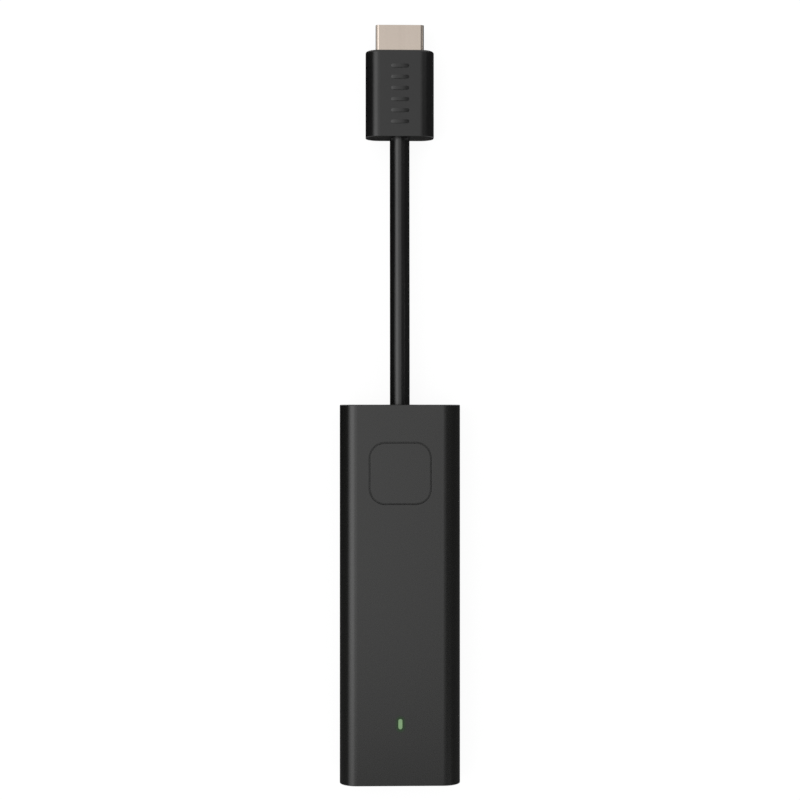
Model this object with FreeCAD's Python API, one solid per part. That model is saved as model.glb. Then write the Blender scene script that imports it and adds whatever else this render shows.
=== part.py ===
"""A streaming stick: a slim plastic case with one square button and a status light on its front,
a captive video cable leaving its upper end, and a 19-pin video plug on that cable.

The stick lies on its back. X runs across it, +Y from the power socket to the cable, and +Z from
its back to its front. The origin is the middle of the case's footprint on the surface it lies on.
All lengths are in millimetres.
"""
import FreeCAD
import Part
import math
import os

Vector = FreeCAD.Vector

# Case
case_length = 108.8
case_width = 34.6
case_thickness = 13.0
case_corner_radius = 5.0
case_end_edge_radius = 0.3
case_wall = 1.4
case_end_wall = 1.5
seam_height = 5.9
seam_chamfer = 0.15
lip_height = 0.8
lip_thickness = 0.6
lip_clearance = 0.05

# Screw posts of the case, two near each end
post_from_side = 5.3
upper_post_from_end = 4.9
lower_post_from_end = 6.4
front_post_radius = 1.9
rear_post_radius = 2.2
case_screw_radius = 0.8
case_screw_bite = 4.0
case_screw_head_radius = 1.55
case_screw_head_height = 0.8
case_screw_head_recess = 0.15
screw_hole_clearance = 0.15
pilot_clearance = 0.02
cross_slot_width = 0.35
cross_slot_share_of_head = 0.6
cross_slot_depth = 0.45

# Back of the case
label_recess_width = 21.0
label_recess_length = 33.0
label_recess_radius = 1.2
label_recess_depth = 0.2
label_recess_y = -23.0
vent_slot_width = 1.0
vent_slot_length = 8.0
vent_pitch = 2.4
vents_per_row = 7
vent_row_pitch = 10.4
vent_rows_y = 17.0

# Button and the space around it
button_size = 17.1
button_corner_radius = 4.2
button_gap = 0.4
button_from_upper_end = 19.6
button_edge_radius = 0.1
window_edge_radius = 0.1
button_flange_lip = 0.8
button_flange_thickness = 0.8
button_plunger_radius = 1.5

# Status light
light_width = 1.1
light_length = 2.9
light_from_lower_end = 17.7
light_pipe_clearance = 0.05
light_pipe_flange_lip = 1.1
light_pipe_flange_thickness = 0.8
light_pipe_gap_over_led = 0.3
led_width = 1.25
led_length = 2.0
led_height = 0.75

# Stack behind the board, from the back of the case up
plate_rib_height = 0.6
plate_rib_width = 1.0
plate_rib_spacing = 21.0
rear_plate_side_margin = 3.4
rear_plate_length = 56.0
rear_plate_thickness = 0.6
rear_plate_edge_radius = 1.5
rear_pad_width = 18.0
rear_pad_length = 26.0
rear_pad_thickness = 0.8
rear_can_width = 24.4
rear_can_length = 38.0
rear_can_headroom = 0.2
rear_can_y = 1.5
can_sheet = 0.2
can_edge_radius = 0.6

# Main board
board_thickness = 1.0
board_side_clearance = 0.5
board_end_clearance = 0.4
board_corner_radius = 1.0
cable_notch_clearance = 0.5
cable_notch_depth = 8.6
socket_notch_clearance = 0.25

# Stack in front of the board
shield_y = 1.5
shield_frame_height = 1.8
shield_frame_sheet = 0.3
shield_lid_skirt = 1.2
system_chip_size = 13.0
system_chip_height = 1.1
memory_chip_width = 9.0
memory_chip_length = 11.0
memory_chip_height = 0.9
memory_chip_gap = 3.0
chip_row_gap = 2.6
chip_fence_clearance = 2.2
memory_fence_clearance = 1.6
chip_pad_size = 12.0
spreader_pad_size = 18.0
spreader_side_margin = 3.4
spreader_past_shield = 0.5
spreader_thickness = 1.0
spreader_edge_radius = 1.5
spreader_rib_width = 1.2
spreader_rib_height = 0.6
spreader_rib_spacing = 18.0
spreader_rib_end_margin = 3.0

# Other parts on the board
flash_chip_width = 11.5
flash_chip_length = 13.0
flash_chip_height = 1.0
flash_chip_y = 10.0
power_chip_size = 5.0
power_chip_height = 0.8
power_chip_x = -6.0
power_chip_y = -4.0
coil_size = 4.0
coil_height = 1.6
coil_corner_radius = 0.6
coil_x = 3.5
coil_pitch = 5.6
first_coil_y = -2.5
coil_count = 3
wireless_module_size = 12.0
wireless_module_height = 1.7
module_from_shield = 3.0
crystal_width = 3.2
crystal_length = 2.5
crystal_height = 0.8
crystal_from_module = 2.4
crystal_from_shield = 4.2
capacitor_width = 1.2
capacitor_length = 2.0
capacitor_height = 1.0
capacitor_pitch = 5.5
capacitors_per_row = 5
capacitors_from_shield = 6.5
capacitors_from_socket = 5.3
antenna_width = 1.8
antenna_length = 14.0
antenna_sheet = 0.25
antenna_height = 3.8
antenna_foot = 1.5
antenna_from_board_side = 0.8
antenna_from_post = 2.1

# Push switch under the button
switch_size = 6.2
switch_base_height = 1.8
switch_floor = 0.5
switch_cavity_radius = 2.5
switch_cover_sheet = 0.2
switch_stem_radius = 1.6
switch_stem_flange_radius = 2.1
switch_stem_flange_height = 0.5
switch_stem_top_over_board = 2.6
switch_stem_clearance = 0.05
dome_clearance = 0.2
dome_rise = 0.5
dome_sheet = 0.1
terminal_width = 0.7
terminal_reach = 1.0
terminal_sheet = 0.2
terminal_spacing = 4.5

# Power socket in the lower end
socket_width = 8.94
socket_height = 3.26
socket_sheet = 0.3
socket_length = 7.3
socket_recess = 0.3
socket_axis_over_board = 0.1
socket_opening_clearance = 0.3
socket_base_length = 1.6
socket_tongue_width = 6.7
socket_tongue_thickness = 0.7
socket_tongue_length = 5.0
socket_contact_width = 0.3
socket_contact_pitch = 0.5
socket_contact_length = 3.6
socket_contact_proud = 0.05
socket_contacts_per_side = 12
socket_contact_thickness = 0.15
socket_upper_step = 0.6
socket_contact_tail = 1.2
socket_tab_width = 1.3
socket_tab_reach = 1.2
socket_tab_spacing = 3.6

# Cable, its grommet and its clamp
cable_diameter = 5.7
cable_free_length = 77.0
cable_first_run = 25.0
cable_last_run = 25.0
jacket_wall = 0.65
braid_wall = 0.25
grommet_wall = 1.2
grommet_flange_clearance = 0.2
grommet_flange_thickness = 1.2
grommet_recess = 0.2
jacket_end_past_clamp = 0.4
braid_end_past_jacket = 1.0
clamp_width = 3.0
clamp_past_grommet = 0.9
clamp_sheet = 0.6
clamp_half_span = 7.9
clamp_axis_drop = 0.5
clamp_screw_spacing = 11.4
clamp_screw_radius = 0.8
clamp_screw_length = 3.6
clamp_screw_head_radius = 1.4
clamp_screw_head_height = 1.0
header_width = 13.0
header_length = 3.2
header_height = 1.7
header_past_notch = 2.2
pair_wire_radius = 0.4
control_wire_radius = 0.35
pair_wire_count = 4
control_wire_count = 4
wire_pitch_at_header = 1.4
wire_pitch_in_cable = 0.85
pair_row_offset = 0.75
control_row_offset = 0.6
wire_lead = 1.3

# Video plug on the cable
plug_width = 19.7
plug_thickness = 10.0
plug_length = 24.9
plug_corner_radius = 4.1
plug_front_edge_radius = 0.6
plug_rear_edge_radius = 0.2
grip_rib_count = 6
grip_rib_width = 5.2
grip_rib_length = 1.0
grip_rib_pitch = 3.2
grip_rib_height = 0.4
grip_rib_end_height = 0.08
grip_ribs_from_rear = 4.3
shell_width = 13.9
shell_height = 4.45
shell_bottom_width = 10.9
shell_taper_height = 1.7
shell_sheet = 0.3
shell_upper_corner_radius = 1.0
shell_corner_radius = 0.8
shell_exposed = 7.6
shell_in_housing = 9.0
shell_window_width = 2.2
shell_window_length = 2.4
shell_window_spacing = 5.6
shell_window_from_tip = 3.0
insulator_recess = 0.3
plug_slot_width = 10.6
plug_slot_height = 1.9
plug_slot_depth = 6.8
plug_contact_width = 0.45
plug_contact_thickness = 0.3
plug_contact_proud = 0.12
plug_contact_pitch = 1.0
plug_upper_contact_count = 10
plug_lower_contact_count = 9
plug_contact_from_tip = 1.3
plug_contact_tail = 2.0
cover_sheet = 0.3
cover_fit = 0.1
cover_over_shell = 2.0
cover_rear_from_plug_rear = 5.2
crimp_sheet = 0.4
crimp_length = 3.4
plug_wires_into_cable = 3.0
plug_wire_pitch = 2.0
plug_wire_offset = 0.95

# Places that follow from the sizes above
upper_end = case_length / 2
lower_end = -case_length / 2
inner_width = case_width - 2 * case_wall
front_inside = case_thickness - case_wall
cavity_upper_end = upper_end - case_end_wall
cavity_lower_end = lower_end + case_end_wall
cable_height = case_thickness / 2
cable_radius = cable_diameter / 2

rear_can_height = coil_height + rear_can_headroom + can_sheet
rear_plate_width = inner_width - 2 * rear_plate_side_margin
rear_plate_back = case_wall + plate_rib_height
rear_plate_front = rear_plate_back + rear_plate_thickness
rear_can_back = rear_plate_front + rear_pad_thickness
board_back = rear_can_back + rear_can_height
board_front = board_back + board_thickness
board_width = inner_width - 2 * board_side_clearance
board_upper_end = cavity_upper_end - board_end_clearance
board_lower_end = cavity_lower_end + board_end_clearance

shield_width = 2 * (
    shield_frame_sheet + chip_fence_clearance + memory_chip_width + memory_chip_gap / 2
)
shield_length = (
    2 * shield_frame_sheet + chip_fence_clearance + system_chip_size
    + chip_row_gap + memory_chip_length + memory_fence_clearance
)
shield_upper = shield_y + shield_length / 2
shield_lower = shield_y - shield_length / 2
lid_underside = board_front + shield_frame_height
lid_top = lid_underside + can_sheet
system_chip_y = shield_upper - shield_frame_sheet - chip_fence_clearance - system_chip_size / 2
memory_chip_y = shield_lower + shield_frame_sheet + memory_fence_clearance + memory_chip_length / 2
memory_chip_x = (memory_chip_gap + memory_chip_width) / 2

wireless_module_y = shield_lower - module_from_shield - wireless_module_size / 2
crystal_x = (wireless_module_size + crystal_width) / 2 + crystal_from_module
crystal_y = shield_lower - crystal_from_shield - crystal_length / 2

spreader_front = front_inside - spreader_rib_height
spreader_back = spreader_front - spreader_thickness
spreader_width = inner_width - 2 * spreader_side_margin
spreader_upper = shield_upper + spreader_past_shield
spreader_lower = wireless_module_y - wireless_module_size / 2
spreader_length = spreader_upper - spreader_lower
spreader_y = (spreader_upper + spreader_lower) / 2

post_x = case_width / 2 - post_from_side
upper_post_y = upper_end - upper_post_from_end
lower_post_y = lower_end + lower_post_from_end
post_places = [(side * post_x, y) for side in (-1, 1) for y in (upper_post_y, lower_post_y)]
case_screw_head_top = case_screw_head_recess + case_screw_head_height
case_screw_tip = board_front + case_screw_bite

antenna_x = board_width / 2 - antenna_from_board_side - antenna_width / 2
antenna_lower_y = lower_post_y + front_post_radius + antenna_from_post
antenna_upper_y = antenna_lower_y + antenna_length

button_y = upper_end - button_from_upper_end
button_flange_back = front_inside - button_flange_thickness
stem_top = board_front + switch_stem_top_over_board
switch_base_top = board_front + switch_base_height
dome_radius = switch_cavity_radius - dome_clearance
dome_seat = board_front + switch_floor
stem_flange_bottom = dome_seat + dome_rise
light_y = lower_end + light_from_lower_end

socket_mouth = lower_end + socket_recess
socket_rear = socket_mouth + socket_length
socket_middle = board_front + socket_axis_over_board
tongue_rear = socket_rear - socket_base_length
tongue_mouth = tongue_rear - socket_tongue_length
capacitor_row_ys = (shield_upper + capacitors_from_shield, socket_rear + capacitors_from_socket)

grommet_inner_end = cavity_upper_end - grommet_flange_thickness
clamp_upper = grommet_inner_end - clamp_past_grommet
clamp_lower = clamp_upper - clamp_width
jacket_end = clamp_lower - jacket_end_past_clamp
braid_end = jacket_end - braid_end_past_jacket
clamp_y = (clamp_lower + clamp_upper) / 2
clamp_seat = cable_height - clamp_axis_drop
clamp_screw_places = [(side * clamp_screw_spacing / 2, clamp_y) for side in (-1, 1)]
clamp_screw_tip = clamp_seat + clamp_sheet - clamp_screw_length
grommet_flange_radius = front_inside - cable_height - grommet_flange_clearance
cable_notch_width = 2 * (clamp_half_span + cable_notch_clearance)
cable_notch_lower = board_upper_end - cable_notch_depth
header_upper = cable_notch_lower - header_past_notch
header_lower = header_upper - header_length

plug_rear = upper_end + cable_free_length
plug_front = plug_rear + plug_length
plug_middle = plug_thickness / 2
shell_tip = plug_front + shell_exposed
shell_rear = plug_front - shell_in_housing
plug_cover_rear = plug_rear + cover_rear_from_plug_rear
contact_tail_end = shell_rear - plug_contact_tail
arc_share_of_run = 0.45
tiny = 0.01


def block(x0, x1, y0, y1, z0, z1):
    """A box between two corners."""
    return Part.makeBox(x1 - x0, y1 - y0, z1 - z0, Vector(x0, y0, z0))


def slab(x, y, size_x, size_y, z0, z1):
    """A box on its middle in X and Y, between two heights."""
    return block(x - size_x / 2, x + size_x / 2, y - size_y / 2, y + size_y / 2, z0, z1)


def outline(width, height, radius):
    """A rectangular face with round corners, flat in XY and centred on the origin."""
    r = min(radius, width / 2 - tiny, height / 2 - tiny)
    a = width / 2
    b = height / 2
    k = r * (1 - math.sqrt(0.5))
    corners = [(1, 1), (-1, 1), (-1, -1), (1, -1)]
    edges = []
    for i, (sx, sy) in enumerate(corners):
        on_side = Vector(sx * a, sy * (b - r), 0)
        on_end = Vector(sx * (a - r), sy * b, 0)
        middle = Vector(sx * (a - k), sy * (b - k), 0)
        first, last = (on_side, on_end) if i % 2 == 0 else (on_end, on_side)
        edges.append(Part.Arc(first, middle, last).toShape())
        nx, ny = corners[(i + 1) % 4]
        next_first = Vector(nx * (a - r), ny * b, 0) if i % 2 == 0 else Vector(nx * a, ny * (b - r), 0)
        edges.append(Part.LineSegment(last, next_first).toShape())
    return Part.Face(Part.Wire(edges))


def rounded_slab(x, y, size_x, size_y, radius, z0, z1):
    """A plate with round corners seen from above, between two heights."""
    face = outline(size_x, size_y, radius)
    face.translate(Vector(x, y, z0))
    return face.extrude(Vector(0, 0, z1 - z0))


def rounded_bar(width, height, radius, y0, y1, z):
    """A bar along Y whose section has round corners, with its middle at height z."""
    face = outline(width, height, radius)
    face.rotate(Vector(0, 0, 0), Vector(1, 0, 0), 90)
    face.translate(Vector(0, y0, z))
    return face.extrude(Vector(0, y1 - y0, 0))


def post(x, y, radius, z0, z1):
    """A round post along Z."""
    return Part.makeCylinder(radius, z1 - z0, Vector(x, y, z0))


def rod(radius, y0, y1, z):
    """A round rod along Y, above the middle line."""
    return Part.makeCylinder(radius, y1 - y0, Vector(0, y0, z), Vector(0, 1, 0))


def ring(outer, inner, y0, y1, z):
    """A round sleeve along Y."""
    return rod(outer, y0, y1, z).cut(rod(inner, y0 - 1, y1 + 1, z))


def join(shapes):
    """The shapes as one solid, with faces that lie in one plane merged."""
    shapes = list(shapes)
    whole = shapes[0]
    if len(shapes) > 1:
        whole = shapes[0].fuse(shapes[1:])
    return whole.removeSplitter()


def side_by_side(shapes):
    """The shapes as separate solids of one node."""
    return Part.makeCompound([solid for shape in shapes for solid in shape.Solids])


def round_ends(bar, radius, y_values):
    """The bar with the edges of its end faces rounded."""
    ends = [
        e for e in bar.Edges
        if any(all(abs(v.Point.y - y) < tiny for v in e.Vertexes) for y in y_values)
        and any(abs(e.CenterOfMass.y - y) < tiny for y in y_values)
    ]
    return bar.makeFillet(radius, ends)


def route_arcs(points):
    """For each inner point of a route: where its largest tangent arc starts, passes and ends."""
    arcs = []
    for before, corner, after in zip(points, points[1:], points[2:]):
        into = (corner - before).normalize()
        out = (after - corner).normalize()
        turn = into.getAngle(out)
        reach = arc_share_of_run * min((corner - before).Length, (after - corner).Length)
        radius = reach / math.tan(turn / 2)
        inward = (out - into).normalize()
        centre = corner + inward * (radius / math.cos(turn / 2))
        arcs.append((corner - into * reach, centre - inward * radius, corner + out * reach, radius))
    return arcs


def route_path(points):
    """Straight runs between the points, joined by tangent arcs, as one wire."""
    edges = []
    here = points[0]
    for start, middle, end, _ in route_arcs(points):
        edges.append(Part.LineSegment(here, start).toShape())
        edges.append(Part.Arc(start, middle, end).toShape())
        here = end
    edges.append(Part.LineSegment(here, points[-1]).toShape())
    return Part.Wire(edges)


def tube(radius, points):
    """A round solid tube along a route that starts along Y."""
    profile = Part.Wire(Part.makeCircle(radius, points[0], Vector(0, 1, 0)))
    return route_path(points).makePipeShell([profile], True, False)


def wire_run(radius, start, end, lead_in, lead_out):
    """A wire along Y from start to end, straight at both ends and slanting between them."""
    way = math.copysign(1, end.y - start.y)
    first = start + Vector(0, way * lead_in, 0)
    last = end - Vector(0, way * lead_out, 0)
    return tube(radius, [start, first, last, end])


def cross_slots(x, y, head_radius, z0, z1):
    """The cross that a screwdriver turns, to be cut from a screw's head."""
    reach = 2 * head_radius * cross_slot_share_of_head
    return slab(x, y, reach, cross_slot_width, z0, z1).fuse(
        slab(x, y, cross_slot_width, reach, z0, z1)
    )


# The case

def case_bar():
    """The outside of the whole case."""
    bar = rounded_bar(
        case_width, case_thickness, case_corner_radius, lower_end, upper_end, case_thickness / 2
    )
    return round_ends(bar, case_end_edge_radius, (lower_end, upper_end))


def case_cavity(grow=0.0):
    """The space inside the case, or the same space grown a little on all sides."""
    return rounded_bar(
        inner_width + 2 * grow,
        case_thickness - 2 * case_wall + 2 * grow,
        case_corner_radius - case_wall + grow,
        cavity_lower_end - grow,
        cavity_upper_end + grow,
        case_thickness / 2,
    )


def half_of_case(z0, z1):
    """The case between two heights, hollow, with its seam edge chamfered."""
    half = case_bar().common(slab(0, 0, 2 * case_width, 2 * case_length, z0, z1))
    seam = [
        e for e in half.Edges
        if all(abs(v.Point.z - seam_height) < tiny for v in e.Vertexes)
        and abs(e.CenterOfMass.z - seam_height) < tiny
    ]
    return half.makeChamfer(seam_chamfer, seam).cut(case_cavity())


def end_openings():
    """The cable's hole in the upper end wall and the socket's in the lower one."""
    cable_hole = rod(cable_radius + grommet_wall, cavity_upper_end - 1, upper_end + 1, cable_height)
    socket_hole = rounded_bar(
        socket_width + 2 * socket_opening_clearance,
        socket_height + 2 * socket_opening_clearance,
        socket_height / 2 + socket_opening_clearance,
        lower_end - 1,
        cavity_lower_end + 1,
        socket_middle,
    )
    return [cable_hole, socket_hole]


def front_cover():
    """The front of the case, with the button's window, the light's slot and four screw posts."""
    inside = case_cavity(tiny)
    cover = half_of_case(seam_height, case_thickness)
    additions = []
    for x, y in post_places:
        additions.append(post(x, y, front_post_radius, board_front, case_thickness).common(inside))
    for side in (-1, 1):
        additions.append(slab(
            side * spreader_rib_spacing / 2, spreader_y,
            spreader_rib_width, spreader_length - 2 * spreader_rib_end_margin,
            spreader_front, front_inside + tiny,
        ))
    cover = join([cover] + additions)
    rebate = case_cavity(lip_thickness + lip_clearance).common(
        slab(0, 0, case_width, 2 * case_length, seam_height - 1, seam_height + lip_height + lip_clearance)
    )
    rebate = rebate.cut(case_cavity())
    window = rounded_slab(
        0, button_y, button_size + 2 * button_gap, button_size + 2 * button_gap,
        button_corner_radius + button_gap, front_inside - 1, case_thickness + 1,
    )
    light_slot = rounded_slab(
        0, light_y, light_width + 2 * light_pipe_clearance, light_length + 2 * light_pipe_clearance,
        light_width / 2, front_inside - 1, case_thickness + 1,
    )
    pilots = [
        post(x, y, case_screw_radius + pilot_clearance, board_front - 1, case_screw_tip + pilot_clearance)
        for x, y in post_places
    ]
    cover = cover.cut([rebate, window, light_slot] + pilots + end_openings())
    reach = button_size / 2 + button_gap + tiny
    window_edges = [
        e for e in cover.Edges
        if all(
            abs(v.Point.z - case_thickness) < tiny
            and abs(v.Point.x) < reach and abs(v.Point.y - button_y) < reach
            for v in e.Vertexes
        )
    ]
    return cover.makeFillet(window_edge_radius, window_edges)


def lip_solid():
    """The lip on the back cover's rim, which goes into the front cover."""
    return case_cavity(lip_thickness).cut(case_cavity()).common(
        slab(0, 0, case_width, 2 * case_length, seam_height - tiny, seam_height + lip_height)
    )


def rear_cover():
    """The back of the case, with its lip, posts, the clamp's cradle, vents and a bare label recess."""
    inside = case_cavity(tiny)
    cover = half_of_case(0, seam_height)
    additions = [lip_solid()]
    for x, y in post_places:
        additions.append(post(x, y, rear_post_radius, case_wall - tiny, board_back).common(inside))
    for side in (-1, 1):
        additions.append(slab(
            side * plate_rib_spacing / 2, 0, plate_rib_width, rear_plate_length,
            case_wall - tiny, rear_plate_back,
        ))
    additions.append(block(
        -clamp_half_span, clamp_half_span, clamp_lower, clamp_upper, case_wall - tiny, clamp_seat
    ))
    cover = join([cover] + additions)
    cuts = end_openings()
    cuts.append(rod(cable_radius, clamp_lower - 1, clamp_upper + 1, cable_height))
    for x, y in clamp_screw_places:
        cuts.append(post(
            x, y, clamp_screw_radius + pilot_clearance,
            clamp_screw_tip - pilot_clearance, clamp_seat + 1,
        ))
    for x, y in post_places:
        cuts.append(post(x, y, case_screw_radius + screw_hole_clearance, -1, board_back + 1))
        cuts.append(post(
            x, y, case_screw_head_radius + screw_hole_clearance, -1, case_screw_head_top
        ))
    cuts.append(rounded_slab(
        0, label_recess_y, label_recess_width, label_recess_length, label_recess_radius,
        -1, label_recess_depth,
    ))
    for row in (-1, 1):
        for i in range(vents_per_row):
            cuts.append(rounded_slab(
                (i - (vents_per_row - 1) / 2) * vent_pitch, vent_rows_y + row * vent_row_pitch / 2,
                vent_slot_width, vent_slot_length, vent_slot_width / 2, -1, case_wall + 1,
            ))
    return cover.cut(cuts)


def case_screws():
    """Four flat-headed screws from the back, through the board and into the front cover's posts."""
    screws = []
    for x, y in post_places:
        head = post(x, y, case_screw_head_radius, case_screw_head_recess, case_screw_head_top)
        shank = post(x, y, case_screw_radius, case_screw_head_top - tiny, case_screw_tip)
        slots = cross_slots(
            x, y, case_screw_head_radius, case_screw_head_recess - 1,
            case_screw_head_recess + cross_slot_depth,
        )
        screws.append(join([head, shank]).cut(slots))
    return side_by_side(screws)


def button_cap():
    """The square button, flush with the front, with the flange that keeps it in and its plunger."""
    cap = rounded_slab(
        0, button_y, button_size, button_size, button_corner_radius,
        front_inside - tiny, case_thickness,
    )
    rim = [
        e for e in cap.Edges
        if all(abs(v.Point.z - case_thickness) < tiny for v in e.Vertexes)
    ]
    cap = cap.makeFillet(button_edge_radius, rim)
    flange_size = button_size + 2 * (button_gap + button_flange_lip)
    flange = rounded_slab(
        0, button_y, flange_size, flange_size,
        button_corner_radius + button_gap + button_flange_lip, button_flange_back, front_inside,
    )
    plunger = post(0, button_y, button_plunger_radius, stem_top, button_flange_back + tiny)
    return join([cap, flange, plunger])


def led_light_pipe():
    """The clear bar that carries the light from the board to the front."""
    foot = board_front + led_height + light_pipe_gap_over_led
    bar = rounded_slab(0, light_y, light_width, light_length, light_width / 2, foot, case_thickness)
    flange = rounded_slab(
        0, light_y, light_width + 2 * light_pipe_flange_lip, light_length + 2 * light_pipe_flange_lip,
        light_width / 2 + light_pipe_flange_lip,
        front_inside - light_pipe_flange_thickness, front_inside,
    )
    return join([bar, flange])


# The board and what is on it

def main_board():
    """The circuit board, notched for the cable's clamp and for the power socket."""
    middle = (board_upper_end + board_lower_end) / 2
    length = board_upper_end - board_lower_end
    board = rounded_slab(0, middle, board_width, length, board_corner_radius, board_back, board_front)
    cable_notch = block(
        -cable_notch_width / 2, cable_notch_width / 2, cable_notch_lower, board_upper_end + 1,
        board_back - 1, board_front + 1,
    )
    socket_notch_width = socket_width + 2 * socket_notch_clearance
    socket_notch = block(
        -socket_notch_width / 2, socket_notch_width / 2, board_lower_end - 1,
        socket_rear + socket_notch_clearance, board_back - 1, board_front + 1,
    )
    holes = [
        post(x, y, case_screw_radius + screw_hole_clearance, board_back - 1, board_front + 1)
        for x, y in post_places
    ]
    return board.cut([cable_notch, socket_notch] + holes)


def on_front(x, y, size_x, size_y, height):
    """A rectangular part on the board's front."""
    return slab(x, y, size_x, size_y, board_front, board_front + height)


def on_back(x, y, size_x, size_y, height):
    """A rectangular part on the board's back."""
    return slab(x, y, size_x, size_y, board_back - height, board_back)


def system_chip():
    """The main processor."""
    return on_front(0, system_chip_y, system_chip_size, system_chip_size, system_chip_height)


def memory_chips():
    """Two memory chips below the processor."""
    return side_by_side([
        on_front(
            side * memory_chip_x, memory_chip_y,
            memory_chip_width, memory_chip_length, memory_chip_height,
        )
        for side in (-1, 1)
    ])


def flash_chip():
    """The storage chip on the board's back."""
    return on_back(0, flash_chip_y, flash_chip_width, flash_chip_length, flash_chip_height)


def power_chip():
    """The power supply chip on the board's back."""
    return on_back(power_chip_x, power_chip_y, power_chip_size, power_chip_size, power_chip_height)


def power_coils():
    """The power supply's coils, in a row on the board's back."""
    return side_by_side([
        rounded_slab(
            coil_x, first_coil_y - i * coil_pitch, coil_size, coil_size, coil_corner_radius,
            board_back - coil_height, board_back,
        )
        for i in range(coil_count)
    ])


def wireless_module():
    """The radio, in its own small can."""
    return rounded_slab(
        0, wireless_module_y, wireless_module_size, wireless_module_size, can_edge_radius,
        board_front, board_front + wireless_module_height,
    )


def clock_crystal():
    """The crystal that sets the clock."""
    return rounded_slab(
        crystal_x, crystal_y, crystal_width, crystal_length, crystal_length / 5,
        board_front, board_front + crystal_height,
    )


def capacitors():
    """Two rows of small capacitors on the board's front."""
    return side_by_side([
        on_front(
            (i - (capacitors_per_row - 1) / 2) * capacitor_pitch, y,
            capacitor_width, capacitor_length, capacitor_height,
        )
        for y in capacitor_row_ys
        for i in range(capacitors_per_row)
    ])


def status_led():
    """The light source under the light pipe."""
    return on_front(0, light_y, led_width, led_length, led_height)


def antenna(side):
    """A bent strip on the board's edge: a foot, an upright and a long arm."""
    x0 = side * antenna_x - antenna_width / 2
    x1 = x0 + antenna_width
    top = board_front + antenna_height
    y = antenna_upper_y
    foot = block(x0, x1, y, y + antenna_foot, board_front, board_front + antenna_sheet)
    upright = block(x0, x1, y - antenna_sheet, y, board_front, top)
    arm = block(x0, x1, y - antenna_length, y, top - antenna_sheet, top)
    return join([foot, upright, arm])


def shield_frame():
    """The fence round the processor and memory."""
    outside = rounded_slab(
        0, shield_y, shield_width, shield_length, can_edge_radius, board_front, lid_underside
    )
    inside = slab(
        0, shield_y, shield_width - 2 * shield_frame_sheet, shield_length - 2 * shield_frame_sheet,
        board_front - 1, lid_underside + 1,
    )
    return outside.cut(inside)


def shield_lid():
    """The sheet lid that snaps over the fence."""
    width = shield_width + 2 * can_sheet
    length = shield_length + 2 * can_sheet
    skirt_bottom = lid_underside - shield_lid_skirt
    outside = rounded_slab(
        0, shield_y, width, length, can_edge_radius + can_sheet, skirt_bottom, lid_top
    )
    inside = rounded_slab(
        0, shield_y, shield_width, shield_length, can_edge_radius, skirt_bottom - 1, lid_underside
    )
    return outside.cut(inside)


def chip_thermal_pad():
    """The soft pad between the processor and the lid."""
    return slab(
        0, system_chip_y, chip_pad_size, chip_pad_size, board_front + system_chip_height, lid_underside
    )


def spreader_thermal_pad():
    """The soft pad between the lid and the heat spreader."""
    return slab(0, shield_y, spreader_pad_size, spreader_pad_size, lid_top, spreader_back)


def heat_spreader():
    """The aluminium plate that spreads the processor's heat under the front cover."""
    return rounded_slab(
        0, spreader_y, spreader_width, spreader_length, spreader_edge_radius,
        spreader_back, spreader_front,
    )


def rear_shield_can():
    """The sheet can over the storage and power parts on the board's back."""
    outside = rounded_slab(
        0, rear_can_y, rear_can_width, rear_can_length, can_edge_radius, rear_can_back, board_back
    )
    inside = slab(
        0, rear_can_y, rear_can_width - 2 * can_sheet, rear_can_length - 2 * can_sheet,
        rear_can_back + can_sheet, board_back + 1,
    )
    return outside.cut(inside)


def rear_thermal_pad():
    """The soft pad between the rear can and the rear heat plate."""
    return slab(0, rear_can_y, rear_pad_width, rear_pad_length, rear_plate_front, rear_can_back)


def rear_heat_plate():
    """The aluminium plate on the back cover's ribs, behind the vents."""
    return rounded_slab(
        0, 0, rear_plate_width, rear_plate_length, rear_plate_edge_radius,
        rear_plate_back, rear_plate_front,
    )


# The push switch under the button

def switch_body():
    """The switch's moulded base, with the round well that holds the dome and the stem."""
    base = slab(0, button_y, switch_size, switch_size, board_front, switch_base_top)
    return base.cut(post(0, button_y, switch_cavity_radius, dome_seat, switch_base_top + 1))


def switch_cover():
    """The sheet cover that keeps the stem in the switch."""
    cover = slab(
        0, button_y, switch_size, switch_size, switch_base_top, switch_base_top + switch_cover_sheet
    )
    hole = post(
        0, button_y, switch_stem_radius + switch_stem_clearance,
        switch_base_top - 1, switch_base_top + 1,
    )
    return cover.cut(hole)


def switch_stem():
    """The round stem that the button pushes."""
    flange = post(
        0, button_y, switch_stem_flange_radius, stem_flange_bottom,
        stem_flange_bottom + switch_stem_flange_height,
    )
    return join([flange, post(0, button_y, switch_stem_radius, stem_flange_bottom, stem_top)])


def switch_dome():
    """The snap dome under the stem, a shallow sheet cap that flattens when it is pressed."""
    curve = (dome_radius ** 2 + dome_rise ** 2) / (2 * dome_rise)
    centre = Vector(0, button_y, stem_flange_bottom - curve)
    sheet = Part.makeSphere(curve, centre).cut(Part.makeSphere(curve - dome_sheet, centre))
    return sheet.common(post(0, button_y, dome_radius, dome_seat, stem_flange_bottom + 1))


def switch_terminals():
    """The switch's four feet on the board."""
    return side_by_side([
        slab(
            side * (switch_size + terminal_reach) / 2, button_y + end * terminal_spacing / 2,
            terminal_reach, terminal_width, board_front, board_front + terminal_sheet,
        )
        for side in (-1, 1)
        for end in (-1, 1)
    ])


# The power socket

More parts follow.
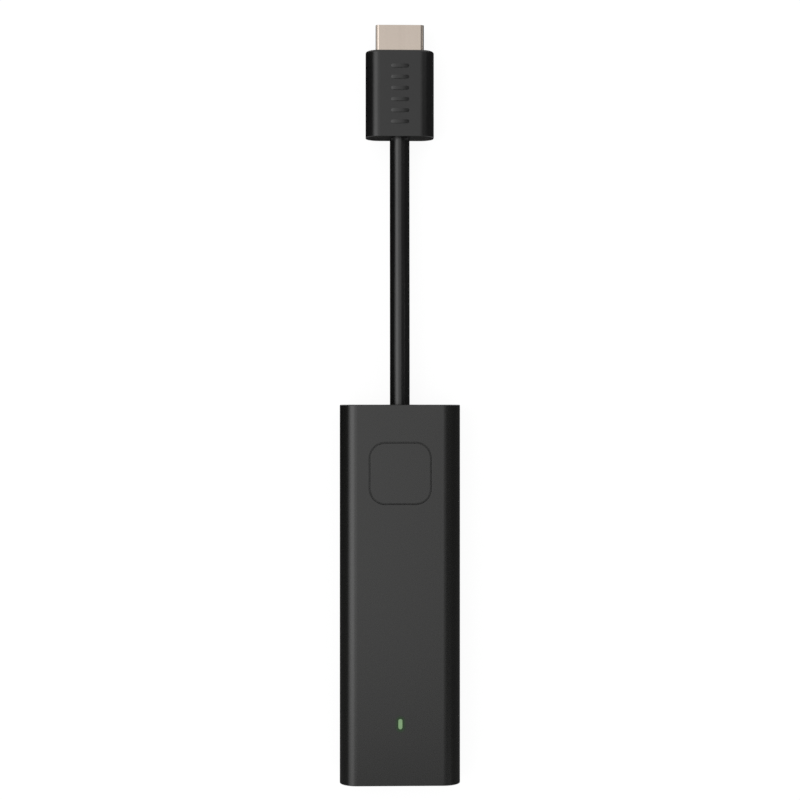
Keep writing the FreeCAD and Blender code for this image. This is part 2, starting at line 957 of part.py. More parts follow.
def power_socket_shell():
    """The socket's metal shell, with four tabs that sit on the board."""
    outside = rounded_bar(
        socket_width, socket_height, socket_height / 2, socket_mouth, socket_rear, socket_middle
    )
    tabs = []
    for side in (-1, 1):
        for end in (-1, 1):
            x0 = side * (socket_width / 2 - socket_sheet)
            x1 = side * (socket_width / 2 + socket_notch_clearance + socket_tab_reach)
            y = (board_lower_end + socket_rear) / 2 + end * socket_tab_spacing / 2
            tabs.append(block(
                min(x0, x1), max(x0, x1), y - socket_tab_width / 2, y + socket_tab_width / 2,
                board_front, board_front + socket_sheet,
            ))
    bore = rounded_bar(
        socket_width - 2 * socket_sheet, socket_height - 2 * socket_sheet,
        socket_height / 2 - socket_sheet, socket_mouth - 1, socket_rear + 1, socket_middle,
    )
    return join([outside] + tabs).cut(bore)


def power_socket_base():
    """The moulded block that closes the socket at its rear."""
    base = rounded_bar(
        socket_width - 2 * socket_sheet, socket_height - 2 * socket_sheet,
        socket_height / 2 - socket_sheet, tongue_rear, socket_rear, socket_middle,
    )
    return base.cut(power_socket_contacts())


def power_socket_contact(i, side):
    """One contact strip, along a face of the tongue, through the base and onto a face of the board."""
    x = (i - (socket_contacts_per_side - 1) / 2) * socket_contact_pitch
    x0 = x - socket_contact_width / 2
    x1 = x + socket_contact_width / 2
    half = socket_contact_thickness / 2
    strip = socket_middle + side * (socket_tongue_thickness / 2 + socket_contact_proud - half)
    if side > 0:
        tail = board_front + half
        step = socket_rear + socket_upper_step
    else:
        tail = board_back - half
        step = socket_rear + (socket_notch_clearance - socket_contact_thickness) / 2
    step_end = step + socket_contact_thickness
    return join([
        block(x0, x1, tongue_rear - socket_contact_length, step_end, strip - half, strip + half),
        block(x0, x1, step, step_end, min(strip, tail) - half, max(strip, tail) + half),
        block(x0, x1, step, socket_rear + socket_contact_tail, tail - half, tail + half),
    ])


def power_socket_contacts():
    """The rows of contacts on both faces of the tongue, with their tails on the board."""
    return side_by_side([
        power_socket_contact(i, side) for side in (-1, 1) for i in range(socket_contacts_per_side)
    ])


def power_socket_tongue():
    """The flat tongue in the middle of the socket."""
    tongue = rounded_slab(
        0, (tongue_mouth + tongue_rear) / 2, socket_tongue_width, socket_tongue_length,
        socket_tongue_thickness / 2,
        socket_middle - socket_tongue_thickness / 2, socket_middle + socket_tongue_thickness / 2,
    )
    return tongue.cut(power_socket_contacts())


# The cable, and what holds it in the case

cable_route = [
    Vector(0, upper_end, cable_height),
    Vector(0, upper_end + cable_first_run, cable_height),
    Vector(0, plug_rear - cable_last_run, plug_middle),
    Vector(0, plug_rear, plug_middle),
]


def video_cable():
    """The free stretch of the cable, from the case's end to the plug."""
    cable = tube(cable_radius, cable_route)
    print("cable arc radii", [round(arc[-1], 1) for arc in route_arcs(cable_route)])
    expected = math.pi * cable_radius ** 2 * route_path(cable_route).Length
    print("cable volume", round(cable.Volume, 2), "section times length", round(expected, 2))
    return cable


def cable_tail():
    """The end of the cable's jacket inside the case."""
    return ring(cable_radius, cable_radius - jacket_wall, jacket_end, upper_end, cable_height)


def cable_braid():
    """The woven screen under the jacket, which reaches past it."""
    outer = cable_radius - jacket_wall
    return ring(outer, outer - braid_wall, braid_end, upper_end, cable_height)


def cable_grommet():
    """The rubber ring that seats the cable in the end wall."""
    sleeve = rod(cable_radius + grommet_wall, cavity_upper_end, upper_end - grommet_recess, cable_height)
    flange = rod(grommet_flange_radius, grommet_inner_end, cavity_upper_end, cable_height)
    return join([sleeve, flange]).cut(rod(cable_radius, grommet_inner_end - 1, upper_end + 1, cable_height))


def cable_clamp():
    """The metal saddle that holds the cable down in its cradle."""
    above = block(
        -clamp_half_span, clamp_half_span, clamp_lower, clamp_upper, clamp_seat, case_thickness
    )
    arch = rod(cable_radius + clamp_sheet, clamp_lower, clamp_upper, cable_height).common(above)
    ears = block(
        -clamp_half_span, clamp_half_span, clamp_lower, clamp_upper, clamp_seat, clamp_seat + clamp_sheet
    )
    holes = [
        post(x, y, clamp_screw_radius + screw_hole_clearance, clamp_seat - 1, clamp_seat + clamp_sheet + 1)
        for x, y in clamp_screw_places
    ]
    bore = rod(cable_radius, clamp_lower - 1, clamp_upper + 1, cable_height)
    return join([arch, ears]).cut([bore] + holes)


def clamp_screws():
    """The two small screws of the clamp."""
    seat = clamp_seat + clamp_sheet
    screws = []
    for x, y in clamp_screw_places:
        head = post(x, y, clamp_screw_head_radius, seat, seat + clamp_screw_head_height)
        shank = post(x, y, clamp_screw_radius, clamp_screw_tip, seat + tiny)
        top = seat + clamp_screw_head_height
        slots = cross_slots(x, y, clamp_screw_head_radius, top - cross_slot_depth, top + 1)
        screws.append(join([head, shank]).cut(slots))
    return side_by_side(screws)


def cable_header():
    """The connector on the board that takes the cable's wires."""
    return block(
        -header_width / 2, header_width / 2, header_lower, header_upper,
        board_front, board_front + header_height,
    )


def case_wires(count, radius, row_offset, shift):
    """Wires from the cable's end to the board's connector."""
    wires = []
    for i in range(count):
        place = i - (count - 1) / 2
        start = Vector(place * wire_pitch_in_cable, jacket_end, cable_height + row_offset)
        end = Vector(
            place * 2 * wire_pitch_at_header + shift, header_upper, board_front + header_height / 2
        )
        wires.append(wire_run(radius, start, end, wire_lead, wire_lead))
    return side_by_side(wires)


def signal_pairs():
    """The cable's screened signal pairs."""
    return case_wires(pair_wire_count, pair_wire_radius, pair_row_offset, -wire_pitch_at_header / 2)


def control_wires():
    """The cable's thin control and supply wires."""
    return case_wires(
        control_wire_count, control_wire_radius, -control_row_offset, wire_pitch_at_header / 2
    )


# The video plug

def lengthwise(bar):
    """The edges of a bar that run along Y."""
    return [e for e in bar.Edges if abs(e.Vertexes[0].Point.y - e.Vertexes[-1].Point.y) > tiny]


def shell_prism(inset, y0, y1):
    """The plug's shell shape, wide above and tapered below, taken in by inset, as a solid bar."""
    a = shell_width / 2
    b = shell_bottom_width / 2
    low = plug_middle - shell_height / 2
    high = plug_middle + shell_height / 2
    slope = math.hypot(shell_taper_height, a - b)
    nx = shell_taper_height / slope
    nz = -(a - b) / slope
    reach = nx * a + nz * (low + shell_taper_height) - inset
    side = a - inset
    knee = (reach - nx * side) / nz
    bottom = (reach - nz * (low + inset)) / nx
    right = [(side, high - inset), (side, knee), (bottom, low + inset)]
    left = [(-x, z) for x, z in reversed(right)]
    points = [Vector(x, y0, z) for x, z in right + left]
    face = Part.Face(Part.makePolygon(points + points[:1]))
    prism = face.extrude(Vector(0, y1 - y0, 0))
    upper_edges = [e for e in lengthwise(prism) if e.CenterOfMass.z > knee + tiny]
    prism = prism.makeFillet(shell_upper_corner_radius - inset, upper_edges)
    lower_edges = [e for e in lengthwise(prism) if e.CenterOfMass.z < knee + tiny]
    return prism.makeFillet(shell_corner_radius - inset, lower_edges)


def plug_shell():
    """The plug's metal shell, with two latch windows in its underside."""
    inside = shell_prism(shell_sheet, shell_rear - 1, shell_tip + 1)
    shell = shell_prism(0, shell_rear, shell_tip).cut(inside)
    low = plug_middle - shell_height / 2
    windows = [
        slab(
            side * shell_window_spacing / 2, shell_tip - shell_window_from_tip,
            shell_window_width, shell_window_length, low - 1, low + shell_sheet + tiny,
        )
        for side in (-1, 1)
    ]
    return shell.cut(windows)


def plug_contact(x, side):
    """One contact strip of the plug, from the slot's wall to its solder tail."""
    wall = plug_middle + side * plug_slot_height / 2
    proud = wall - side * plug_contact_proud
    sunk = proud + side * plug_contact_thickness
    return block(
        x - plug_contact_width / 2, x + plug_contact_width / 2,
        contact_tail_end, shell_tip - plug_contact_from_tip, min(proud, sunk), max(proud, sunk),
    )


def plug_contact_row(count, side):
    """A row of plug contacts at their pitch."""
    return side_by_side([
        plug_contact((i - (count - 1) / 2) * plug_contact_pitch, side) for i in range(count)
    ])


def plug_upper_contacts():
    """The row of contacts on the slot's upper wall."""
    return plug_contact_row(plug_upper_contact_count, 1)


def plug_lower_contacts():
    """The row of contacts on the slot's lower wall."""
    return plug_contact_row(plug_lower_contact_count, -1)


def plug_insulator():
    """The moulded lining of the shell, with the slot that the socket's tongue enters."""
    front = shell_tip - insulator_recess
    body = shell_prism(shell_sheet, shell_rear, front)
    slot = block(
        -plug_slot_width / 2, plug_slot_width / 2, front - plug_slot_depth, front + 1,
        plug_middle - plug_slot_height / 2, plug_middle + plug_slot_height / 2,
    )
    return body.cut([slot, plug_upper_contacts(), plug_lower_contacts()])


def plug_cover_bar(grow, y0, y1):
    """The inside of the plug's rear screen, or a bar that much larger."""
    return rounded_bar(
        shell_width + 2 * (cover_fit + grow), shell_height + 2 * (cover_fit + grow),
        shell_corner_radius + cover_fit + grow, y0, y1, plug_middle,
    )


def plug_shield_cover():
    """The metal screen behind the shell, a box with a hole for the wires."""
    outside = plug_cover_bar(cover_sheet, plug_cover_rear, shell_rear + cover_over_shell)
    inside = plug_cover_bar(0, plug_cover_rear + cover_sheet, shell_rear + cover_over_shell + 1)
    wire_hole = rod(cable_radius - jacket_wall, plug_cover_rear - 1, plug_cover_rear + 1, plug_middle)
    return outside.cut([inside, wire_hole])


def plug_conductors():
    """The wires that fan out from the cable to the plug's contacts."""
    wires = []
    for side in (-1, 1):
        for i in range(pair_wire_count):
            place = i - (pair_wire_count - 1) / 2
            start = Vector(
                place * wire_pitch_in_cable, plug_cover_rear - plug_wires_into_cable,
                plug_middle + side * control_row_offset,
            )
            end = Vector(
                place * plug_wire_pitch, contact_tail_end, plug_middle + side * plug_wire_offset
            )
            wires.append(wire_run(control_wire_radius, start, end, plug_wires_into_cable, wire_lead))
    return side_by_side(wires)


def plug_inner_mould():
    """The plastic moulded round the solder joints inside the screen."""
    body = plug_cover_bar(0, plug_cover_rear + cover_sheet, shell_rear)
    return body.cut([plug_conductors(), plug_upper_contacts(), plug_lower_contacts()])


def plug_cable_tail():
    """The end of the cable's jacket inside the plug."""
    return ring(cable_radius, cable_radius - jacket_wall, plug_rear, plug_cover_rear, plug_middle)


def plug_crimp_ring():
    """The metal ring crimped over the jacket behind the screen."""
    return ring(
        cable_radius + crimp_sheet, cable_radius, plug_cover_rear - crimp_length, plug_cover_rear,
        plug_middle,
    )


def grip_rib(y):
    """One rib across the front of the plug's grip, arched so that its middle is highest."""
    rise = grip_rib_height - grip_rib_end_height
    arch_radius = ((grip_rib_width / 2) ** 2 + rise ** 2) / (2 * rise)
    arch = rod(
        arch_radius, y - grip_rib_length, y + grip_rib_length,
        plug_thickness + grip_rib_height - arch_radius,
    )
    return arch.common(rounded_slab(
        0, y, grip_rib_width, grip_rib_length, grip_rib_length / 2,
        plug_thickness - grip_rib_height, plug_thickness + 2 * grip_rib_height,
    ))


def plug_housing():
    """The plug's moulded grip, with plain grip ribs on its front and the inner parts' space."""
    grip = rounded_bar(
        plug_width, plug_thickness, plug_corner_radius, plug_rear, plug_front, plug_middle
    )
    grip = round_ends(grip, plug_front_edge_radius, (plug_front,))
    grip = round_ends(grip, plug_rear_edge_radius, (plug_rear,))
    ribs = [
        grip_rib(plug_rear + grip_ribs_from_rear + i * grip_rib_pitch) for i in range(grip_rib_count)
    ]
    crimp_rear = plug_cover_rear - crimp_length
    inner = [
        shell_prism(0, shell_rear, plug_front + 1),
        plug_cover_bar(cover_sheet, plug_cover_rear, shell_rear + cover_over_shell),
        rod(cable_radius + crimp_sheet, crimp_rear, plug_cover_rear + tiny, plug_middle),
        rod(cable_radius, plug_rear - 1, plug_cover_rear, plug_middle),
    ]
    return join([grip] + ribs).cut(join(inner))


nodes = {
    "front_cover": front_cover,
    "rear_cover": rear_cover,
    "case_screws": case_screws,
    "button_cap": button_cap,
    "led_light_pipe": led_light_pipe,
    "main_board": main_board,
    "system_chip": system_chip,
    "memory_chips": memory_chips,
    "flash_chip": flash_chip,
    "power_chip": power_chip,
    "power_coils": power_coils,
    "wireless_module": wireless_module,
    "clock_crystal": clock_crystal,
    "capacitors": capacitors,
    "status_led": status_led,
    "antenna_left": lambda: antenna(-1),
    "antenna_right": lambda: antenna(1),
    "shield_frame": shield_frame,
    "shield_lid": shield_lid,
    "chip_thermal_pad": chip_thermal_pad,
    "spreader_thermal_pad": spreader_thermal_pad,
    "heat_spreader": heat_spreader,
    "rear_shield_can": rear_shield_can,
    "rear_thermal_pad": rear_thermal_pad,
    "rear_heat_plate": rear_heat_plate,
    "switch_body": switch_body,
    "switch_cover": switch_cover,
    "switch_stem": switch_stem,
    "switch_dome": switch_dome,
    "switch_terminals": switch_terminals,
    "power_socket_shell": power_socket_shell,
    "power_socket_base": power_socket_base,
    "power_socket_tongue": power_socket_tongue,
    "power_socket_contacts": power_socket_contacts,
    "video_cable": video_cable,
    "cable_tail": cable_tail,
    "cable_braid": cable_braid,
    "cable_grommet": cable_grommet,
    "cable_clamp": cable_clamp,
    "clamp_screws": clamp_screws,
    "cable_header": cable_header,
    "signal_pairs": signal_pairs,
    "control_wires": control_wires,
    "plug_housing": plug_housing,
    "plug_shell": plug_shell,
    "plug_insulator": plug_insulator,
    "plug_upper_contacts": plug_upper_contacts,
    "plug_lower_contacts": plug_lower_contacts,
    "plug_shield_cover": plug_shield_cover,
    "plug_inner_mould": plug_inner_mould,
    "plug_conductors": plug_conductors,
    "plug_cable_tail": plug_cable_tail,
    "plug_crimp_ring": plug_crimp_ring,
}

os.makedirs("parts", exist_ok=True)
for name, make in nodes.items():
    shape = make()
    if not shape.isValid():
        print("not valid:", name)
    shape.exportStep("parts/" + name + ".step")
    print(name, len(shape.Solids), "solids", round(shape.Volume, 2), "mm3")
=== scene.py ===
"""Looks of the streaming stick: its studio, its free cable and the finish of every part.

Everything is in metres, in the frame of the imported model: X across the case, Y along the case towards
the cable and the plug, Z up from the back of the case to its front.
"""

import logging
import math
from dataclasses import dataclass
from enum import Enum
from typing import Any

import bpy
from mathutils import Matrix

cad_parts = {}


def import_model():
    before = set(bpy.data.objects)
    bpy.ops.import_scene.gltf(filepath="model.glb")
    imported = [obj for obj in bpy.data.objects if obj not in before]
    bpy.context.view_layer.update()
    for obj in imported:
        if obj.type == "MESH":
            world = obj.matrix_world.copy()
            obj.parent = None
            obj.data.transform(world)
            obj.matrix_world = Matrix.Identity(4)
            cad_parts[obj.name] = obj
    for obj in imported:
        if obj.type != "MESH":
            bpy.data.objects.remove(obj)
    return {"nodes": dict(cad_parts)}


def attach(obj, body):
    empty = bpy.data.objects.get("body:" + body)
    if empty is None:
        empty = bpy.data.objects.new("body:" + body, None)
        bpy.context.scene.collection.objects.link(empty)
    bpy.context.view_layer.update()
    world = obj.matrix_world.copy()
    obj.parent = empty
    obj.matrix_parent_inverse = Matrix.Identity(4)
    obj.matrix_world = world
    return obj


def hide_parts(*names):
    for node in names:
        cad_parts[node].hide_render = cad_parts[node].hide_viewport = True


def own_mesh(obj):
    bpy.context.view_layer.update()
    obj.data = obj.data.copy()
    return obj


log = logging.getLogger("streaming_stick")

Colour = tuple[float, float, float, float]
Point = tuple[float, float, float]
Nodes = dict[str, bpy.types.Object]
Tree = bpy.types.NodeTree
Socket = bpy.types.NodeSocket

MM = 0.001
WATTS_PER_LEVEL = 4.0
WHITE = "#ffffff"
BLACK = "#000000"

# The places of a Mix node's sockets, first for colours and then for numbers. Their names are shared.
SHARE, FROM_COLOUR, TO_COLOUR, MIXED_COLOUR = 0, 6, 7, 2
FROM_NUMBER, TO_NUMBER, MIXED_NUMBER = 2, 3, 0


class Draw(Enum):
    """The way a surface's marks run, as their scale along X, Y and Z. The small one draws them out."""

    EVEN = (1.0, 1.0, 1.0)
    LENGTHWISE = (1.0, 0.04, 1.0)
    CROSSWISE = (0.04, 1.0, 1.0)


def linear(colour: str) -> Colour:
    """Turns an sRGB colour to linear light.

    Args:
        colour: the colour as #rrggbb.

    Returns:
        Red, green, blue and an alpha of 1.
    """
    parts = [int(colour[i:i + 2], 16) / 255 for i in (1, 3, 5)]
    red, green, blue = (c / 12.92 if c <= 0.04045 else ((c + 0.055) / 1.055) ** 2.4 for c in parts)
    return red, green, blue, 1.0


def per_metre(size_mm: float) -> float:
    """Gives the scale at which a pattern's marks are size_mm apart."""
    return 1000.0 / size_mm


def empty_tree(owner: bpy.types.Material | bpy.types.World) -> Tree:
    """Gives a material or a world nodes of its own, with none in them yet.

    Args:
        owner: the material or the world.

    Returns:
        Its node tree.
    """
    owner.use_nodes = True
    owner.node_tree.nodes.clear()
    return owner.node_tree


def add_node(tree: Tree, kind: str, inputs: dict[Any, Any] | None = None, **settings: Any) -> bpy.types.Node:
    """Adds a node, sets it up and joins its inputs.

    Args:
        tree: the node tree that gets the node.
        kind: the node's type name.
        inputs: for each input, by name or place, a value, the output that feeds it, or the node whose
            first output feeds it.
        settings: the node's own settings.

    Returns:
        The new node.
    """
    node = tree.nodes.new(kind)
    for name, value in settings.items():
        setattr(node, name, value)
    for key, value in (inputs or {}).items():
        if isinstance(value, bpy.types.Node):
            value = value.outputs[0]
        if isinstance(value, Socket):
            tree.links.new(value, node.inputs[key])
        else:
            node.inputs[key].default_value = value
    return node


def add_object(name: str, data: bpy.types.ID) -> bpy.types.Object:
    """Puts a new object into the scene.

    Args:
        name: the object's name.
        data: its mesh, curve, lamp or lens.

    Returns:
        The object.
    """
    made = bpy.data.objects.new(name, data)
    bpy.context.scene.collection.objects.link(made)
    return made


def add_flat(name: str, corners: tuple[Point, ...], paint: bpy.types.Material) -> bpy.types.Object:
    """Adds a flat piece of the studio, which isn't part of the stick.

    Args:
        name: the piece's name.
        corners: its four corners in order. Its front is the side from which they run anticlockwise.
        paint: its material.

    Returns:
        The piece.
    """
    mesh = bpy.data.meshes.new(name)
    mesh.from_pydata(corners, [], [tuple(range(len(corners)))])
    mesh.materials.append(paint)
    flat = add_object(name, mesh)
    log.info("studio: %s", name)
    return flat


@dataclass(frozen=True)
class StatusLight:
    """The place and the size of the status light's window, an upright slot with round ends."""

    x: float = 0.0
    y: float = -36.7 * MM
    width: float = 1.1 * MM
    length: float = 2.9 * MM


@dataclass(frozen=True)
class Finish:
    """What all the finishes share: two shades, how the surface shines, its patches and its tooth."""

    # On most of the small inner parts a real tooth is finer than the size given here. It is drawn
    # coarser, so that it shows close up.
    name: str = "plain"
    shade: str = "#808080"
    deep_shade: str = "#707070"
    roughness: float = 0.4
    roughness_swing: float = 0.06
    metallic: float = 0.0
    ior: float = 1.5
    patch_mm: float = 4.0
    patch_octaves: float = 3.0
    patch_harshness: float = 0.55
    grain_mm: float = 0.5
    grain_octaves: float = 2.0
    grain_harshness: float = 0.6
    tooth_mm: float = 0.002
    draw: Draw = Draw.EVEN

    def place(self, tree: Tree) -> Socket:
        """Gives the point on the part, drawn out the way that the marks run.

        Args:
            tree: the material's node tree.

        Returns:
            The output that holds the point.
        """
        where = add_node(tree, "ShaderNodeTexCoord").outputs["Object"]
        drawn = add_node(tree, "ShaderNodeMapping", {"Vector": where, "Scale": self.draw.value})
        return drawn.outputs["Vector"]

    def shades(self, tree: Tree, place: Socket) -> Socket:
        """Wanders between the two shades in soft patches.

        Args:
            tree: the material's node tree.
            place: the point on the part.

        Returns:
            The output that holds the colour.
        """
        patches = add_node(tree, "ShaderNodeTexNoise", {
            "Vector": place, "Scale": per_metre(self.patch_mm), "Detail": self.patch_octaves,
            "Roughness": self.patch_harshness})
        mixed = add_node(tree, "ShaderNodeMix", {
            SHARE: patches.outputs["Fac"], FROM_COLOUR: linear(self.deep_shade),
            TO_COLOUR: linear(self.shade)}, data_type="RGBA")
        return mixed.outputs[MIXED_COLOUR]

    def height(self, tree: Tree, place: Socket) -> Socket:
        """Gives the tooth of the surface, from 0 to 1.

        Args:
            tree: the material's node tree.
            place: the point on the part.

        Returns:
            The output that holds the height.
        """
        grain = add_node(tree, "ShaderNodeTexNoise", {
            "Vector": place, "Scale": per_metre(self.grain_mm), "Detail": self.grain_octaves,
            "Roughness": self.grain_harshness})
        return grain.outputs["Fac"]

    def extras(self, tree: Tree, surface: bpy.types.Node) -> None:
        """Sets what only this finish has. A plain finish has nothing more."""

    def material(self) -> bpy.types.Material:
        """Makes the material.

        Returns:
            The new material.
        """
        made = bpy.data.materials.new(self.name)
        tree = empty_tree(made)
        place = self.place(tree)
        height = self.height(tree, place)
        relief = add_node(tree, "ShaderNodeBump", {
            "Height": height, "Distance": self.tooth_mm * MM, "Strength": 1.0})
        gloss = add_node(tree, "ShaderNodeMapRange", {
            "Value": height, "To Min": self.roughness - self.roughness_swing,
            "To Max": self.roughness + self.roughness_swing})
        surface = add_node(tree, "ShaderNodeBsdfPrincipled", {
            "Base Color": self.shades(tree, place), "Metallic": self.metallic, "Roughness": gloss,
            "Normal": relief})
        if not self.metallic:
            surface.inputs["IOR"].default_value = self.ior
        self.extras(tree, surface)
        add_node(tree, "ShaderNodeOutputMaterial", {"Surface": surface})
        return made


@dataclass(frozen=True)
class SparkTexturedAbs(Finish):
    """Black ABS, moulded in a tool with a fine spark-eroded face."""

    # A lamp spreads to a wide soft glow on it, with no sharp edge, and the black turns to charcoal there.
    # Such a tooth is about 0.05 mm wide. It is drawn at 0.6 mm, because that is two pixels.
    name: str = "spark_textured_abs"
    shade: str = "#161615"
    deep_shade: str = "#131312"
    roughness: float = 0.28
    roughness_swing: float = 0.03
    ior: float = 1.54
    patch_mm: float = 9.0
    grain_mm: float = 0.6
    tooth_mm: float = 0.0012


@dataclass(frozen=True)
class PaintedSpillAbs(SparkTexturedAbs):
    """The case's ABS round the status light, with a painted green glow of its spilled light and a painted
    dark shade at its edge.
    """

    # A painted green glow and a painted dark shade lie round the light on a rougher lip, and fade into the
    # black within 1.3 mm.
    name: str = "spark_textured_abs_painted_spill"
    # The colour of the painted glow of light spilled from the status light, and below it the painted shade
    # at its edge.
    glow: str = "#12300f"
    painted_edge_shade: str = "#000300"
    lip_roughness: float = 0.8
    fade: float = 1.3 * MM
    face_z: float = 12.6 * MM
    light: StatusLight = StatusLight()

    def closeness(self, tree: Tree) -> Socket:
        """Tells how close a point of the face is to the light's edge.

        Args:
            tree: the material's node tree.

        Returns:
            The output that is 1 at the light's edge, and 0 past the fade and below the face.
        """
        where = add_node(tree, "ShaderNodeTexCoord").outputs["Object"]
        part = add_node(tree, "ShaderNodeSeparateXYZ", {0: where})
        across = add_node(tree, "ShaderNodeMath", {
            0: part.outputs["X"], 1: self.light.x}, operation="SUBTRACT")
        along = add_node(tree, "ShaderNodeMath", {
            0: part.outputs["Y"], 1: self.light.y}, operation="SUBTRACT")
        either_way = add_node(tree, "ShaderNodeMath", {0: along}, operation="ABSOLUTE")
        straight = (self.light.length - self.light.width) / 2
        past = add_node(tree, "ShaderNodeMath", {0: either_way, 1: straight}, operation="SUBTRACT")
        end = add_node(tree, "ShaderNodeMath", {0: past, 1: 0.0}, operation="MAXIMUM")
        offset = add_node(tree, "ShaderNodeCombineXYZ", {0: across, 1: end})
        away = add_node(tree, "ShaderNodeVectorMath", {0: offset}, operation="LENGTH")
        edge = self.light.width / 2
        faded = add_node(tree, "ShaderNodeMapRange", {
            "Value": away.outputs["Value"], "From Min": edge, "From Max": edge + self.fade,
            "To Min": 1.0, "To Max": 0.0}, interpolation_type="SMOOTHSTEP")
        above = add_node(tree, "ShaderNodeMath", {
            0: part.outputs["Z"], 1: self.face_z}, operation="GREATER_THAN")
        both = add_node(tree, "ShaderNodeMath", {0: faded, 1: above}, operation="MULTIPLY")
        return both.outputs[0]

    def extras(self, tree: Tree, surface: bpy.types.Node) -> None:
        """Adds the painted green glow and the painted dark shade round the light, on a rougher lip.

        Args:
            tree: the material's node tree.
            surface: the material's surface shader.
        """
        close = self.closeness(tree)
        gloss = surface.inputs["Roughness"].links[0].from_socket
        shade = surface.inputs["Base Color"].links[0].from_socket
        # Painted green glow round the light.
        lit = add_node(tree, "ShaderNodeMix", {
            SHARE: close, FROM_COLOUR: linear(BLACK), TO_COLOUR: linear(self.glow)}, data_type="RGBA")
        dulled = add_node(tree, "ShaderNodeMix", {
            SHARE: close, FROM_NUMBER: gloss, TO_NUMBER: self.lip_roughness})
        # Painted dark shade at the light's edge.
        painted_edge_shaded = add_node(tree, "ShaderNodeMix", {
            SHARE: close, FROM_COLOUR: shade, TO_COLOUR: linear(self.painted_edge_shade)}, data_type="RGBA")
        tree.links.new(lit.outputs[MIXED_COLOUR], surface.inputs["Emission Color"])
        tree.links.new(dulled.outputs[MIXED_NUMBER], surface.inputs["Roughness"])
        tree.links.new(painted_edge_shaded.outputs[MIXED_COLOUR], surface.inputs["Base Color"])
        surface.inputs["Emission Strength"].default_value = 1.0


@dataclass(frozen=True)
class FineTexturedAbs(SparkTexturedAbs):
    """The button's ABS, from its own tool with a slightly finer face."""

    # It reads as the same black as the case, so that only the gap round it shows.
    name: str = "button_abs"
    shade: str = "#161615"
    deep_shade: str = "#141413"
    grain_mm: float = 0.5
    patch_mm: float = 6.0


@dataclass(frozen=True)
class OvermouldedElastomer(Finish):
    """Black thermoplastic elastomer, moulded over the plug's inside."""

    # Duller than the case: no part of it shows a lamp's shape, and its ribs show by their shade alone.
    # Its tooth is drawn at 0.6 mm, as the case's is.
    name: str = "overmoulded_elastomer"
    shade: str = "#141414"
    deep_shade: str = "#111111"
    roughness: float = 0.30
    roughness_swing: float = 0.04
    ior: float = 1.5
    patch_mm: float = 5.0
    grain_mm: float = 0.6
    tooth_mm: float = 0.0015


@dataclass(frozen=True)
class ExtrudedPvc(Finish):
    """Black PVC, drawn round the cable by an extruder."""

    # A clear narrow gleam runs along it, with faint lines the way that it was drawn.
    # Such lines are hair fine. They are drawn 0.5 mm apart, so that they show.
    name: str = "extruded_pvc"
    shade: str = "#131313"
    deep_shade: str = "#0f0f0f"
    roughness: float = 0.26
    roughness_swing: float = 0.04
    ior: float = 1.52
    patch_mm: float = 1.2
    grain_mm: float = 0.5
    tooth_mm: float = 0.0015
    draw: Draw = Draw.LENGTHWISE


@dataclass(frozen=True)
class LitPolycarbonate(Finish):
    """Clear polycarbonate, moulded and lit from behind by a green light."""

    # Its end glows an even pale green, a trace stronger in its middle.
    name: str = "lit_polycarbonate"
    shade: str = "#3c5638"
    deep_shade: str = "#344b30"
    roughness: float = 0.3
    ior: float = 1.58
    glow: str = "#6c8860"
    edge_glow: str = "#677e5e"
    light: StatusLight = StatusLight()

    def extras(self, tree: Tree, surface: bpy.types.Node) -> None:
        """Adds the glow, stronger in the middle of the light.

        Args:
            tree: the material's node tree.
            surface: the material's surface shader.
        """
        where = add_node(tree, "ShaderNodeTexCoord").outputs["Object"]
        part = add_node(tree, "ShaderNodeSeparateXYZ", {0: where})
        along = add_node(tree, "ShaderNodeMath", {
            0: part.outputs["Y"], 1: self.light.y}, operation="SUBTRACT")
        either_way = add_node(tree, "ShaderNodeMath", {0: along}, operation="ABSOLUTE")
        share = add_node(tree, "ShaderNodeMapRange", {
            "Value": either_way, "From Min": 0.0, "From Max": self.light.length / 2})
        lit = add_node(tree, "ShaderNodeMix", {
            SHARE: share, FROM_COLOUR: linear(self.glow), TO_COLOUR: linear(self.edge_glow)},
            data_type="RGBA")
        tree.links.new(lit.outputs[MIXED_COLOUR], surface.inputs["Emission Color"])
        surface.inputs["Emission Strength"].default_value = 1.0


@dataclass(frozen=True)
class SatinNickelPlate(Finish):
    """Warm satin nickel, plated on the plug's folded sheet."""

    # A soft warm grey with fine lines along the sheet, and a crisp bright edge where it folds.
    # Such lines are about a tenth as wide. They are drawn 0.3 mm apart, because that is one pixel.
    name: str = "satin_nickel_plate"
    shade: str = "#c0b4a9"
    deep_shade: str = "#b9ada2"
    roughness: float = 0.21
    roughness_swing: float = 0.03
    metallic: float = 1.0
    patch_mm: float = 2.5
    grain_mm: float = 0.3
    tooth_mm: float = 0.0003
    draw: Draw = Draw.LENGTHWISE


@dataclass(frozen=True)
class TinPlatedSheet(Finish):
    """Steel sheet, stamped and tin plated."""

    # Pale and a little cloudy, with the faint lines of the rolling mill.
    name: str = "tin_plated_sheet"
    shade: str = "#d3d2cd"
    deep_shade: str = "#bdbcb7"
    roughness: float = 0.33
    roughness_swing: float = 0.08
    metallic: float = 1.0
    patch_mm: float = 3.0
    grain_mm: float = 0.4
    tooth_mm: float = 0.001
    draw: Draw = Draw.LENGTHWISE


@dataclass(frozen=True)
class DrawnSteel(Finish):
    """Stainless steel, drawn to the power socket's rounded shell."""

    # Brighter and harder than tin plate, with marks along the way that it was drawn.
    name: str = "drawn_steel"
    shade: str = "#cbcac8"
    deep_shade: str = "#b4b3b1"
    roughness: float = 0.24
    roughness_swing: float = 0.05
    metallic: float = 1.0
    patch_mm: float = 2.0
    grain_mm: float = 0.25
    tooth_mm: float = 0.001
    draw: Draw = Draw.LENGTHWISE


